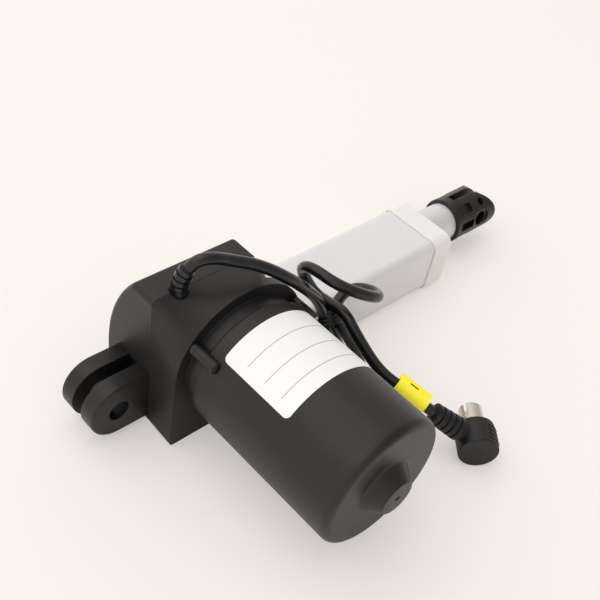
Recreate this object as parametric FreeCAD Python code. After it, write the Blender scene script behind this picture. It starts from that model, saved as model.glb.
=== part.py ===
import FreeCAD, Part
import math
import os

V = FreeCAD.Vector

# Bed linear actuator, millimetres. The origin is the centre of the rear pivot bore,
# +X runs along the rod to the front pivot, +Y away from the motor, +Z up.

# Overall sizes and travel
PIVOT_SPACING = 300.0
STROKE = 81.0
REAR_BORE_R = 6.1
FRONT_BORE_R = 5.1

# Clearances
FIT = 0.05
SEAT = 0.15
AIR = 0.3
SEAM_GAP = 0.2

# Gearbox housing
HOUSING_REAR = 19.0
HOUSING_FRONT = 81.0
HOUSING_TOP = 70.5
HOUSING_NEAR = -35.0
HOUSING_FAR = 24.0
HOUSING_WALL = 3.0
REAR_LEAN = 3.0
SEAM_Y = -15.0
FAR_BEND_Z = 9.5
FAR_TOP_Y = 0.87
FAR_FOOT_R = 6.0
SECTION_EDGE_R = 3.0
TOP_FRONT_EDGE_R = 2.0
SEAM_REAR_TOP_R = 4.0
NEAR_FRONT_TOP_R = 18.0
CREASE_ANGLE = 52.0
CREASE_SPREAD = 3.0
REAR_EDGE_R = 2.5
FLANGE_THICK = 6.0
COLLAR_LENGTH = 14.0
COLLAR_WALL = 3.0
POST_R = 4.5
POST_PLACES = ((34.0, 44.0), (72.0, 52.0), (44.0, -15.0))
HOUSING_SCREW_R = 1.9
HOUSING_SCREW_HEAD_R = 3.4
HOUSING_SCREW_HEAD = 2.6
HOUSING_SCREW_REACH = 12.0
SCREW_SINK = 3.6

# Rear clevis
EAR_R = 16.8
EAR_INNER_Y = 4.0
EAR_OUTER_Y = 14.0
CLEVIS_SLOT_INSET = 1.0
CLEVIS_FLANGE = 6.0
CLEVIS_FLANGE_Y = 18.0
CLEVIS_FLANGE_GAP = 0.7
EAR_EDGE_R = 1.2

# Lead screw, worm wheel and their bearings
SCREW_R = 8.0
JOURNAL_R = 6.0
SCREW_LEAD_IN = 4.0
BEARING_R = 16.0
BEARING_WIDTH = 10.0
RACE_WALL = 2.7
SEAT_WALL = 3.5
LOCK_NUT_R = 8.4
LOCK_NUT_WIDTH = 4.0
END_WASHER_GAP = 0.6
END_WASHER_WIDTH = 3.0
WHEEL_MODULE = 1.2
WHEEL_TEETH = 28
WHEEL_WIDTH = 14.0
WHEEL_HUB_R = 11.0
WHEEL_FLOOR_GAP = 0.5
TOOTH_SLANT = 2.5

# Motor, whose axis is parallel to Y and crosses above the wheel
MOTOR_X = 60.3
WORM_CORE_R = 9.9
WORM_HALF_LENGTH = 13.0
WORM_BUSH_R = 7.0
WORM_BUSH_LENGTH = 3.0
WORM_BUSH_Y = 14.8
SHAFT_R = 4.0
NECK_STEP = 2.0
FLANGE_LIP = 6.3
NECK_LENGTH = 7.2
COVER_R = 38.0
COVER_WALL = 4.2
COVER_LENGTH = 107.0
COVER_EDGE_R = 10.0
COVER_BOSS_BASE_R = 16.0
COVER_BOSS_TIP_R = 10.0
COVER_BOSS = 9.0
COVER_BOSS_FOOT_R = 3.0
COVER_BOSS_EDGE_R = 1.5
COVER_DIMPLE_R = 4.0
GASKET = 0.8
CAN_WALL = 1.0
CAN_HUB_R = 11.0
PLATE_GAP = 2.6
PLATE_THICK = 2.4
PILOT_R = 11.0
MOTOR_BEARING_R = 8.0
MOTOR_BEARING_WIDTH = 5.0
CORE_R = 17.0
CORE_LENGTH = 32.0
CORE_SLOTS = 10
CORE_SLOT_WIDTH = 3.2
CORE_SLOT_DEPTH = 7.0
WINDING_LENGTH = 7.0
COMMUTATOR_R = 8.5
COMMUTATOR_LENGTH = 11.0
COMMUTATOR_BARS = 10
MAGNET_THICK = 4.0
MAGNET_ARC = 100.0
BRUSH_CARD_THICK = 2.0
BRUSH_SIZE = 5.0
COVER_TAB_R = 3.4
COVER_TAB_OUT = 2.8
COVER_TAB_LENGTH = 17.0
COVER_TAB_ANGLES = (57.0, 177.0, -63.0)
COVER_SCREW_R = 1.8
COVER_SCREW_HEAD_R = 2.4
COVER_SCREW_HEAD = 2.0
COVER_SCREW_SINK = 2.2

# Bare label on the motor cover, angles from the top towards the rear
LABEL_SETBACK = 9.5
LABEL_LENGTH = 46.5
LABEL_REAR_ANGLE = 48.5
LABEL_FRONT_ANGLE = -50.0
LABEL_THICK = 0.2
LABEL_CORNER_R = 3.0

# Outer tube, front cap and rod guide
TUBE_NEAR_Y = -28.4
TUBE_FAR_Y = 17.2
TUBE_ABOVE = 18.0
TUBE_CORNER_R = 6.0
TUBE_WALL = 2.2
CAP_OVERLAP = 9.0
CAP_WALL = 1.5
CAP_FRONT_WALL = 4.0
CAP_FRONT_EDGE_R = 2.8
CAP_REAR_EDGE_R = 0.8
GUIDE_PLATE = 3.3
GUIDE_LENGTH = 18.0
GUIDE_WALL = 1.8
WIPER_WALL = 2.3
TUBE_SCREW_R = 1.8
TUBE_SCREW_HEAD_R = 3.2
TUBE_SCREW_HEAD = 1.8
TUBE_SCREW_Z = (-9.0, 8.0)

# Rod: inner tube, nut and fork
ROD_R = 13.0
ROD_WALL = 2.0
ROD_OUT = 27.4
NUT_SETBACK = 16.0
NUT_FLANGE = 7.0
NUT_SPIGOT = 20.0
NUT_CAM_WIDTH = 8.0
NUT_CAM_TIP = -16.5
FORK_HEEL = 25.0
FORK_R = 15.5
FORK_TOE = 15.0
FORK_EDGE_R = 1.0
FORK_TURN = 9.0
FORK_SPIGOT = 22.0
FORK_SLOT = 5.4
FORK_SLOT_DEPTH = 33.0
FORK_CHEEK_Y = 14.2
FORK_CHEEK_R = 7.2
POCKET_SETBACK = 4.0
POCKET_LENGTH = 13.0
POCKET_WIDTH = 6.2
POCKET_DEPTH = 4.0
SHALLOW_POCKET_DEPTH = 2.4
POCKET_EDGE_R = 1.0
DIMPLE_R = 2.7
DIMPLE_AHEAD = 2.0
DIMPLE_FLOOR_R = 11.0
RIVET_R = 2.0
RIVET_SETBACK = 11.0
RIVET_LENGTH = 8.0

# Limit-switch strip inside the tube
STRIP_SETBACK = 5.0
STRIP_SPARE = 8.5
STRIP_THICK = 1.6
STRIP_HALF_WIDTH = 8.0
SWITCH_LENGTH = 20.0
SWITCH_HEIGHT = 6.0
SWITCH_HALF_WIDTH = 4.0

# Strain relief and cord
CORD_D = 6.5
GLAND_X = 32.0
GLAND_R = 4.9
GLAND_CORE_R = 4.0
GLAND_TIP_R = 3.7
GLAND_STEP = 1.0
GLAND_LENGTH = 13.0
GLAND_STEM = 15.0
GLAND_LOCK = 3.0
GLAND_LOCK_R = 7.5
GLAND_BEND = 0.6
GLAND_HEADING = V(0.9, -0.436, 0.0)
GLAND_RIBS = 4
GLAND_RIB_PROUD = 0.65
GLAND_RIB_WIDTH = 2.3
LEAD_POINTS = (
    (37.4, -17.6, 87.0),
    (41.4, -19.2, 89.0),
    (48.5, -21.5, 88.0),
    (56.0, -23.0, 84.2),
    (70.0, -30.5, 80.0),
    (85.0, -40.0, 70.0),
    (103.0, -41.0, 51.5),
    (116.0, -42.5, 36.0),
)
TAIL_POINTS = (
    (119.0, -46.0, 36.0),
    (118.5, -57.0, 33.5),
    (119.5, -70.0, 25.5),
    (123.5, -83.0, 16.0),
    (128.0, -96.0, 10.5),
    (131.6, -107.0, 7.2),
    (135.9, -116.6, 4.0),
)
HANK_WAIST = V(119.0, -44.0, 29.5)
HANK_WAIST_R = 9.5
HANK_TOP = V(125.0, -38.0, 46.5)
HANK_TOP_NORMAL = V(0.587, 0.296, 0.756)
HANK_TOP_R = 24.5
HANK_THICK = 9.0
HANK_DROP = V(0.05, -0.8, -0.6)
HANK_SIDE = V(0.6, 0.46, -0.655)
HANK_DROP_LENGTH = 62.0
HANK_DROP_R = 21.5
HANK_DROP_SHIFT = -4.0
TIE_LENGTH = 7.0
TIE_WALL = 1.2
TIE_RISE = 3.5
FLAG_WALL = 0.5
FLAG_LENGTH = 20.5
FLAG_REACH = 4.2
FLAG_ROOM = 0.6
FLAG_RUN = 4

# Right-angle plug lying beside the motor
PLUG_BACK = V(146.4, -144.0, 0.0)
PLUG_LIFT = 0.4
PLUG_AXIS = V(0.657, 0.754, 0.0)
PLUG_R = 11.5
PLUG_LENGTH = 17.0
PLUG_EDGE_R = 0.8
PLUG_ENTRY = 8.5
PLUG_GRIP_GROOVES = 4
PLUG_GROOVE_PITCH = 3.0
PLUG_GROOVE_WIDTH = 1.3
PLUG_GROOVE_DEPTH = 0.9
PLUG_GROOVE_REACH = 14.0
PLUG_BOOT_R = 6.4
PLUG_BOOT_TIP_R = 5.0
PLUG_BOOT_RIBS = 5
PLUG_RIB_PITCH = 3.9
PLUG_RIB_WIDTH = 2.6
PLUG_RIB_PROUD = 0.9
PLUG_GRIP = 2.0
PLUG_SHELL_R = 6.6
PLUG_SHELL_WALL = 0.6
PLUG_SHELL_LENGTH = 14.0
PLUG_INSERT_LENGTH = 7.0
PLUG_KEY_WIDTH = 2.0
PLUG_KEY_LENGTH = 9.0
PIN_R = 0.75
PIN_LENGTH = 5.0
PIN_COUNT = 5
PIN_CIRCLE_R = 3.4

# Places worked out from the sizes above
WHEEL_PITCH_R = WHEEL_MODULE * WHEEL_TEETH / 2
WHEEL_TIP_R = WHEEL_PITCH_R + WHEEL_MODULE
WHEEL_ROOT_R = WHEEL_PITCH_R - 1.25 * WHEEL_MODULE
AXIS_HEIGHT = WHEEL_TIP_R + WHEEL_FLOOR_GAP + HOUSING_WALL
FLOOR_Z = -AXIS_HEIGHT
MOTOR_Z = WHEEL_TIP_R + AIR + WORM_CORE_R
NECK_R = COVER_R - NECK_STEP
FLANGE_R = NECK_R + FLANGE_LIP
NEAR_REAR = MOTOR_X - FLANGE_R
FAR_RISE = HOUSING_TOP - FAR_BEND_Z
FAR_LEAN = HOUSING_FAR - FAR_TOP_Y
FAR_BEND_R = (FAR_RISE ** 2 + FAR_LEAN ** 2) / (2 * FAR_LEAN)
CLEVIS_FLANGE_Z = AXIS_HEIGHT - HOUSING_WALL - CLEVIS_FLANGE_GAP
CLEVIS_SLOT_END = HOUSING_REAR + CLEVIS_SLOT_INSET
CLEVIS_FLANGE_START = HOUSING_REAR + HOUSING_WALL + 0.2
CLEVIS_FLANGE_END = CLEVIS_FLANGE_START + CLEVIS_FLANGE
REAR_BEARING_X = CLEVIS_FLANGE_END + AIR
SHOULDER_X = REAR_BEARING_X + BEARING_WIDTH + FIT
FRONT_BEARING_X = HOUSING_FRONT - HOUSING_WALL - BEARING_WIDTH
WHEEL_START = MOTOR_X - WHEEL_WIDTH / 2
NUT_REAR = HOUSING_FRONT + NUT_SETBACK
NUT_FRONT = NUT_REAR + NUT_FLANGE
SCREW_END = NUT_FRONT + NUT_SPIGOT + STROKE + SCREW_LEAD_IN
ROD_BORE_R = ROD_R - ROD_WALL
END_WASHER_R = ROD_BORE_R - END_WASHER_GAP
COVER_START = HOUSING_NEAR - GASKET
COVER_SHOULDER = COVER_START - NECK_LENGTH
COVER_END = HOUSING_NEAR - COVER_LENGTH
COVER_BORE_R = COVER_R - COVER_WALL
COVER_TAB_RADIUS = NECK_R + COVER_TAB_OUT
LABEL_START_Y = COVER_SHOULDER - LABEL_SETBACK
CAN_R = COVER_BORE_R - AIR
CAN_ARC_R = CAN_R - (COVER_R - COVER_EDGE_R)
CAN_ARC_Y = COVER_END + COVER_EDGE_R
CAN_END = CAN_ARC_Y - CAN_ARC_R
HUB_END = CAN_END - MOTOR_BEARING_WIDTH
PLATE_Y = HOUSING_NEAR - PLATE_GAP
CORE_FRONT = PLATE_Y - PLATE_THICK - 22.0
CORE_REAR = CORE_FRONT - CORE_LENGTH
COMMUTATOR_Y = CORE_REAR - WINDING_LENGTH - 2.0
CARD_Y = COMMUTATOR_Y - COMMUTATOR_LENGTH
FORK_REAR = PIVOT_SPACING - FORK_HEEL
FORK_TIP = PIVOT_SPACING + FORK_TOE
FORK_SLOT_START = FORK_TIP - FORK_SLOT_DEPTH
POCKET_START = FORK_REAR + POCKET_SETBACK
DIMPLE_X = PIVOT_SPACING + DIMPLE_AHEAD
RIVET_X = FORK_REAR - RIVET_SETBACK
CAP_FRONT = FORK_REAR - ROD_OUT
TUBE_END = CAP_FRONT - CAP_FRONT_WALL - AIR - GUIDE_PLATE
CAP_REAR = TUBE_END - CAP_OVERLAP
TUBE_BELOW = AXIS_HEIGHT - CAP_WALL
STRIP_START = HOUSING_FRONT + STRIP_SETBACK
STRIP_END = NUT_REAR + NUT_FLANGE / 2 + STROKE + SWITCH_LENGTH / 2 + STRIP_SPARE
GLAND_BASE_Z = HOUSING_TOP + GLAND_STEP
PLUG_Z = FLOOR_Z + PLUG_LIFT + PLUG_R
CORD_R = CORD_D / 2


def box(x0, x1, y0, y1, z0, z1):
    return Part.makeBox(x1 - x0, y1 - y0, z1 - z0, V(x0, y0, z0))


def rod_x(radius, x0, x1, y=0.0, z=0.0):
    return Part.makeCylinder(radius, x1 - x0, V(x0, y, z), V(1, 0, 0))


def rod_y(radius, y0, y1, x=MOTOR_X, z=MOTOR_Z):
    return Part.makeCylinder(radius, y1 - y0, V(x, y0, z), V(0, 1, 0))


def sleeve_x(outer, inner, x0, x1):
    return rod_x(outer, x0, x1).cut(rod_x(inner, x0, x1))


def sleeve_y(outer, inner, y0, y1, x=MOTOR_X, z=MOTOR_Z):
    return rod_y(outer, y0, y1, x, z).cut(rod_y(inner, y0, y1, x, z))


def rounded_edges(points, radii, closed):
    """Straight runs joined by tangent arcs, with one radius for each point."""
    count = len(points)
    arcs = {}
    for i in range(count) if closed else range(1, count - 1):
        back = (points[i - 1] - points[i]).normalize()
        ahead = (points[(i + 1) % count] - points[i]).normalize()
        half_turn = (math.pi - back.getAngle(ahead)) / 2
        reach = radii[i] * math.tan(half_turn)
        inward = (back + ahead).normalize()
        middle = points[i] + inward * (radii[i] / math.cos(half_turn) - radii[i])
        arcs[i] = (points[i] + back * reach, middle, points[i] + ahead * reach)
    edges = []
    here = arcs[0][2] if closed else points[0]
    for i in list(range(1, count)) + [0] if closed else range(1, count - 1):
        first, middle, last = arcs[i]
        edges.append(Part.LineSegment(here, first).toShape())
        edges.append(Part.Arc(first, middle, last).toShape())
        here = last
    if not closed:
        edges.append(Part.LineSegment(here, points[-1]).toShape())
    return edges


def outline(points, radii):
    return Part.Wire(rounded_edges(points, radii, True))


def revolved_y(points):
    """Turn a profile of (radius, y) points about the motor axis."""
    corners = [V(MOTOR_X + radius, y, MOTOR_Z) for radius, y in points]
    face = Part.Face(Part.makePolygon(corners + corners[:1]))
    return face.revolve(V(MOTOR_X, 0, MOTOR_Z), V(0, 1, 0), 360)


def circles_about_motor(solid, radius, y):
    """The edges of a turned solid that are circles of that radius at that place."""
    found = []
    for edge in solid.Edges:
        extent = edge.BoundBox
        flat_there = extent.YLength < 0.01 and abs(extent.Center.y - y) < 0.01
        if flat_there and abs(extent.XLength - 2 * radius) < 0.01:
            found.append(edge)
    return found


def around_motor(radius, angle, y):
    """A point beside the motor axis, its angle taken from the top towards the rear."""
    turn = math.radians(angle)
    return V(MOTOR_X - radius * math.sin(turn), y, MOTOR_Z + radius * math.cos(turn))


def save(node, *solids):
    shape = solids[0] if len(solids) == 1 else Part.makeCompound(list(solids))
    shape.exportStep("parts/" + node + ".step")
    print(node, len(shape.Solids), shape.isValid(), round(shape.Volume, 1))


# Gearbox housing

def far_y(z, inset=0.0):
    """Far outline of the housing: upright at the foot, leaning in above the bend."""
    if z <= FAR_BEND_Z:
        return HOUSING_FAR - inset
    radius = FAR_BEND_R - inset
    return HOUSING_FAR - FAR_BEND_R + math.sqrt(radius ** 2 - (z - FAR_BEND_Z) ** 2)


def seam_section(y, inset):
    low, high = FLOOR_Z + inset, HOUSING_TOP - inset
    rear, front = HOUSING_REAR + inset, HOUSING_FRONT - inset
    points = [V(rear, y, low), V(front, y, low), V(front, y, high), V(rear - REAR_LEAN, y, high)]
    radii = [SECTION_EDGE_R, SECTION_EDGE_R, TOP_FRONT_EDGE_R, SEAM_REAR_TOP_R]
    return outline(points, [max(radius - inset, 0.5) for radius in radii])


def lofted_section(y, inset, rear_low, rear_high, front_top_r, over_the_top):
    """A section of the near half: from the rear edge under and round to its top."""
    low, high = FLOOR_Z + inset, HOUSING_TOP - inset
    front = HOUSING_FRONT - inset
    arc_r = FLANGE_R - inset
    turn_x, turn_z = NEAR_REAR + inset + arc_r, high - arc_r
    lean = (rear_low - rear_high) * (turn_z - low) / (high - low)
    points = [V(rear_low - lean, y, turn_z), V(rear_low, y, low), V(front, y, low),
              V(front, y, high), V(turn_x, y, high)]
    radii = [0, SECTION_EDGE_R, SECTION_EDGE_R, front_top_r, 0]
    edges = rounded_edges(points, [max(radius - inset, 0.5) for radius in radii], False)
    return Part.Wire(edges + over_the_top(points[-1], points[0], V(turn_x, y, turn_z), arc_r))


def seam_wire(inset):
    """The seam section, its top and rear edges split where the flange's arc begins and ends."""
    rear = HOUSING_REAR + inset
    high = HOUSING_TOP - inset

    def over_the_top(top, back, turn, arc_r):
        corner_r = max(SEAM_REAR_TOP_R - inset, 0.5)
        return rounded_edges([top, V(rear - REAR_LEAN, top.y, high), back], [0, corner_r, 0], False)

    return lofted_section(SEAM_Y, inset, rear, rear - REAR_LEAN, TOP_FRONT_EDGE_R, over_the_top)


def flange_wire(inset):
    """The motor-side section, whose arc about the motor is split at the crease."""
    rear = NEAR_REAR + inset

    def over_the_top(top, back, turn, arc_r):
        def on_arc(angle):
            way = math.radians(angle)
            return turn + V(-arc_r * math.sin(way), 0, arc_r * math.cos(way))

        stops = [0.0, CREASE_ANGLE - CREASE_SPREAD, CREASE_ANGLE + CREASE_SPREAD, 90.0]
        edges = []
        for first, last in zip(stops, stops[1:]):
            arc = Part.Arc(on_arc(first), on_arc((first + last) / 2), on_arc(last))
            edges.append(arc.toShape())
        return edges

    return lofted_section(HOUSING_NEAR, inset, rear, rear, NEAR_FRONT_TOP_R, over_the_top)


def far_body(inset):
    """The side view swept across, cut by the end view swept along the rod."""
    low, high = FLOOR_Z + inset, HOUSING_TOP - inset
    foot = max(FAR_FOOT_R - inset, 0.5)
    across = HOUSING_FAR - inset
    middle = (FAR_BEND_Z + high) / 2
    corners = [V(0, SEAM_Y, low), V(0, across - foot, low), V(0, across, low + foot)]
    corner_middle = V(0, across - foot * (1 - math.sqrt(0.5)), low + foot * (1 - math.sqrt(0.5)))
    bend = V(0, across, FAR_BEND_Z)
    top = V(0, far_y(high, inset), high)
    edges = [
        Part.LineSegment(corners[0], corners[1]).toShape(),
        Part.Arc(corners[1], corner_middle, corners[2]).toShape(),
        Part.LineSegment(corners[2], bend).toShape(),
        Part.Arc(bend, V(0, far_y(middle, inset), middle), top).toShape(),
        Part.LineSegment(top, V(0, SEAM_Y, high)).toShape(),
        Part.LineSegment(V(0, SEAM_Y, high), corners[0]).toShape(),
    ]
    end_view = Part.Face(Part.Wire(edges)).extrude(V(HOUSING_FRONT + 10, 0, 0))
    side_view = Part.Face(seam_section(SEAM_Y, inset)).extrude(V(0, HOUSING_FAR - SEAM_Y, 0))
    return side_view.common(end_view)


def near_body(inset):
    return Part.makeLoft([seam_wire(inset), flange_wire(inset)], True, True)


def tube_prism(x0, x1, grow):
    """A length of the tube's outline, grown on every side."""
    near, far = TUBE_NEAR_Y - grow, TUBE_FAR_Y + grow
    low, high = -TUBE_BELOW - grow, TUBE_ABOVE + grow
    points = [V(x0, near, low), V(x0, far, low), V(x0, far, high), V(x0, near, high)]
    wire = outline(points, [TUBE_CORNER_R + grow] * 4)
    return Part.Face(wire).extrude(V(x1 - x0, 0, 0))


def rounded_far_body():
    """The far half with its upright rear edge softened."""
    body = far_body(0.0)
    wanted = []
    for edge in body.Edges:
        centre = edge.BoundBox.Center
        upright = edge.BoundBox.ZLength > 20
        if upright and centre.y > SEAM_Y + 8 and centre.x < HOUSING_REAR + 2:
            wanted.append(edge)
    return body.makeFillet(REAR_EDGE_R, wanted)


def housing():
    collar = tube_prism(HOUSING_FRONT - 1, HOUSING_FRONT + COLLAR_LENGTH, COLLAR_WALL)
    collar = collar.common(box(0, 200, -100, 100, FLOOR_Z, 100))
    flange = rod_y(FLANGE_R, HOUSING_NEAR, HOUSING_NEAR + FLANGE_THICK)
    solid = near_body(0.0).fuse(rounded_far_body())
    outside = solid.fuse(flange).fuse(collar).removeSplitter()
    inside_far = HOUSING_NEAR + HOUSING_WALL
    near_room = near_body(HOUSING_WALL).common(box(0, 200, inside_far, 100, -100, 100))
    shell = outside.cut(near_room).cut(far_body(HOUSING_WALL))
    posts = []
    for x, z in POST_PLACES:
        posts.append(rod_y(POST_R, HOUSING_NEAR + 1, HOUSING_FAR, x, z).common(outside))
    for x in (REAR_BEARING_X, FRONT_BEARING_X):
        ring = rod_x(BEARING_R + SEAT_WALL, x, x + BEARING_WIDTH)
        posts.append(ring.common(box(0, 200, SEAM_Y, 100, -100, 100)))
    bush_end = WORM_BUSH_Y + WORM_BUSH_LENGTH
    posts.append(rod_y(WORM_BUSH_R + SEAT_WALL, WORM_BUSH_Y, HOUSING_FAR).common(outside))
    shell = shell.fuse(posts).removeSplitter()
    cuts = [
        tube_prism(HOUSING_FRONT, HOUSING_FRONT + 50, SEAT),
        rod_x(BEARING_R + FIT, REAR_BEARING_X - 1, REAR_BEARING_X + BEARING_WIDTH),
        rod_x(BEARING_R + FIT, FRONT_BEARING_X - 1, FRONT_BEARING_X + BEARING_WIDTH),
        rod_x(END_WASHER_R + 1, FRONT_BEARING_X, HOUSING_FRONT + 1),
        rod_y(WORM_BUSH_R + FIT, WORM_BUSH_Y - 1, bush_end + FIT),
        rod_y(SHAFT_R + 1, WORM_BUSH_Y, bush_end + 1.5),
        rod_y(PILOT_R + SEAT, HOUSING_NEAR - 1, HOUSING_NEAR + HOUSING_WALL + 1),
        Part.makeCylinder(GLAND_R + SEAT, 30, V(GLAND_X, SEAM_Y, HOUSING_TOP - 20)),
        box(0, HOUSING_REAR + HOUSING_WALL + 1, -EAR_OUTER_Y - SEAT, EAR_OUTER_Y + SEAT,
            -EAR_R - SEAT, EAR_R + SEAT),
    ]
    for x, z in POST_PLACES:
        floor = far_y(z + HOUSING_SCREW_HEAD_R) - SCREW_SINK
        cuts.append(rod_y(HOUSING_SCREW_HEAD_R + AIR, floor, HOUSING_FAR + 5, x, z))
        cuts.append(rod_y(HOUSING_SCREW_R + SEAT, SEAM_Y - HOUSING_SCREW_REACH - 1, floor + 1, x, z))
    for angle in COVER_TAB_ANGLES:
        place = around_motor(COVER_TAB_RADIUS, angle, 0)
        cuts.append(rod_y(COVER_SCREW_R + SEAT, HOUSING_NEAR - 1, HOUSING_NEAR + 12, place.x, place.z))
    for z in TUBE_SCREW_Z:
        cuts.append(rod_y(TUBE_SCREW_R + SEAT, 0, 60, HOUSING_FRONT + COLLAR_LENGTH / 2, z))
    return shell.cut(cuts)


def housing_halves():
    whole = housing()
    near = whole.common(box(-50, 200, -100, SEAM_Y - SEAM_GAP / 2, -100, 100))
    far = whole.common(box(-50, 200, SEAM_Y + SEAM_GAP / 2, 100, -100, 100))
    save("housing_near", near.removeSplitter().Solids[0])
    save("housing_far", far.removeSplitter().Solids[0])
    screws = []
    for x, z in POST_PLACES:
        floor = far_y(z + HOUSING_SCREW_HEAD_R) - SCREW_SINK
        head = rod_y(HOUSING_SCREW_HEAD_R, floor, floor + HOUSING_SCREW_HEAD, x, z)
        recess = rod_y(HOUSING_SCREW_R * 0.8, floor + HOUSING_SCREW_HEAD - 1.2, floor + 10, x, z)
        stem = rod_y(HOUSING_SCREW_R, SEAM_Y - HOUSING_SCREW_REACH, floor, x, z)
        screws.append(head.cut(recess).fuse(stem))
    save("housing_screws", *screws)


def rear_clevis():
    """Two ears about the pivot bore, with a block and flange behind the rear wall."""
    ends = Part.makeCylinder(EAR_R, 2 * EAR_OUTER_Y, V(0, -EAR_OUTER_Y, 0), V(0, 1, 0))
    block = box(0, CLEVIS_FLANGE_START + 1, -EAR_OUTER_Y, EAR_OUTER_Y, -EAR_R, EAR_R)
    ears = ends.fuse(block).removeSplitter()
    rims = []
    for edge in ears.Edges:
        middle = edge.BoundBox.Center
        on_side = abs(abs(middle.y) - EAR_OUTER_Y) < 0.01
        if on_side and middle.x < CLEVIS_FLANGE_START:
            rims.append(edge)
    ears = ears.makeFillet(EAR_EDGE_R, rims)
    flange = box(CLEVIS_FLANGE_START, CLEVIS_FLANGE_END, -CLEVIS_FLANGE_Y, CLEVIS_FLANGE_Y,
                 -CLEVIS_FLANGE_Z, CLEVIS_FLANGE_Z)
    slot = box(-EAR_R - 1, CLEVIS_SLOT_END, -EAR_INNER_Y, EAR_INNER_Y, -EAR_R - 1, EAR_R + 1)
    bore = Part.makeCylinder(REAR_BORE_R, 4 * EAR_R, V(0, -2 * EAR_R, 0), V(0, 1, 0))
    recess = rod_x(LOCK_NUT_R + 1, CLEVIS_FLANGE_START + 0.5, CLEVIS_FLANGE_END + 1)
    save("rear_clevis", ears.fuse(flange).cut([slot, bore, recess]).removeSplitter())


# Lead screw and worm wheel

def spindle():
    tail = CLEVIS_FLANGE_START + 1.0
    screw = rod_x(JOURNAL_R, tail, SHOULDER_X).fuse(rod_x(SCREW_R, SHOULDER_X, SCREW_END))
    save("lead_screw", screw.removeSplitter())
    nut_end = REAR_BEARING_X - FIT
    save("screw_lock_nut", hexagon_nut(LOCK_NUT_R, JOURNAL_R + FIT, nut_end - LOCK_NUT_WIDTH, nut_end))
    washer = rod_x(END_WASHER_R, SCREW_END, SCREW_END + END_WASHER_WIDTH)
    save("screw_end_washer", washer.makeChamfer(0.8, washer.Edges[:1]))
    for name, x, bore in (("rear", REAR_BEARING_X, JOURNAL_R), ("front", FRONT_BEARING_X, SCREW_R)):
        inner = bore + RACE_WALL
        save(name + "_inner_race", sleeve_x(inner, bore + 0.02, x, x + BEARING_WIDTH))
        save(name + "_bearing", sleeve_x(BEARING_R, inner + AIR, x, x + BEARING_WIDTH))


def hexagon_nut(radius, bore, x0, x1):
    corners = [V(x0, radius * math.cos(k * math.pi / 3), radius * math.sin(k * math.pi / 3))
               for k in range(6)]
    hexagon = Part.Face(Part.makePolygon(corners + corners[:1])).extrude(V(x1 - x0, 0, 0))
    return hexagon.cut(rod_x(bore, x0 - 1, x1 + 1))


def tooth_ring(x, turn):
    """Outline of the wheel's teeth: root, flank, tip and flank for each tooth."""
    step = 2 * math.pi / WHEEL_TEETH
    corners = []
    for tooth in range(WHEEL_TEETH):
        for share, radius in ((-0.36, WHEEL_ROOT_R), (-0.14, WHEEL_TIP_R),
                              (0.14, WHEEL_TIP_R), (0.36, WHEEL_ROOT_R)):
            angle = (tooth + share) * step + turn
            corners.append(V(x, radius * math.sin(angle), radius * math.cos(angle)))
    return Part.makePolygon(corners + corners[:1])


def worm_wheel():
    slant = math.radians(TOOTH_SLANT)
    rings = [tooth_ring(WHEEL_START, 0.0), tooth_ring(WHEEL_START + WHEEL_WIDTH, slant)]
    rim = Part.makeLoft(rings, True, True)
    hub = rod_x(WHEEL_HUB_R, WHEEL_START - 2, FRONT_BEARING_X - FIT)
    wheel = rim.fuse(hub).cut(rod_x(SCREW_R + 0.02, WHEEL_START - 5, FRONT_BEARING_X + 5))
    save("worm_wheel", wheel)


# Motor

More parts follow.
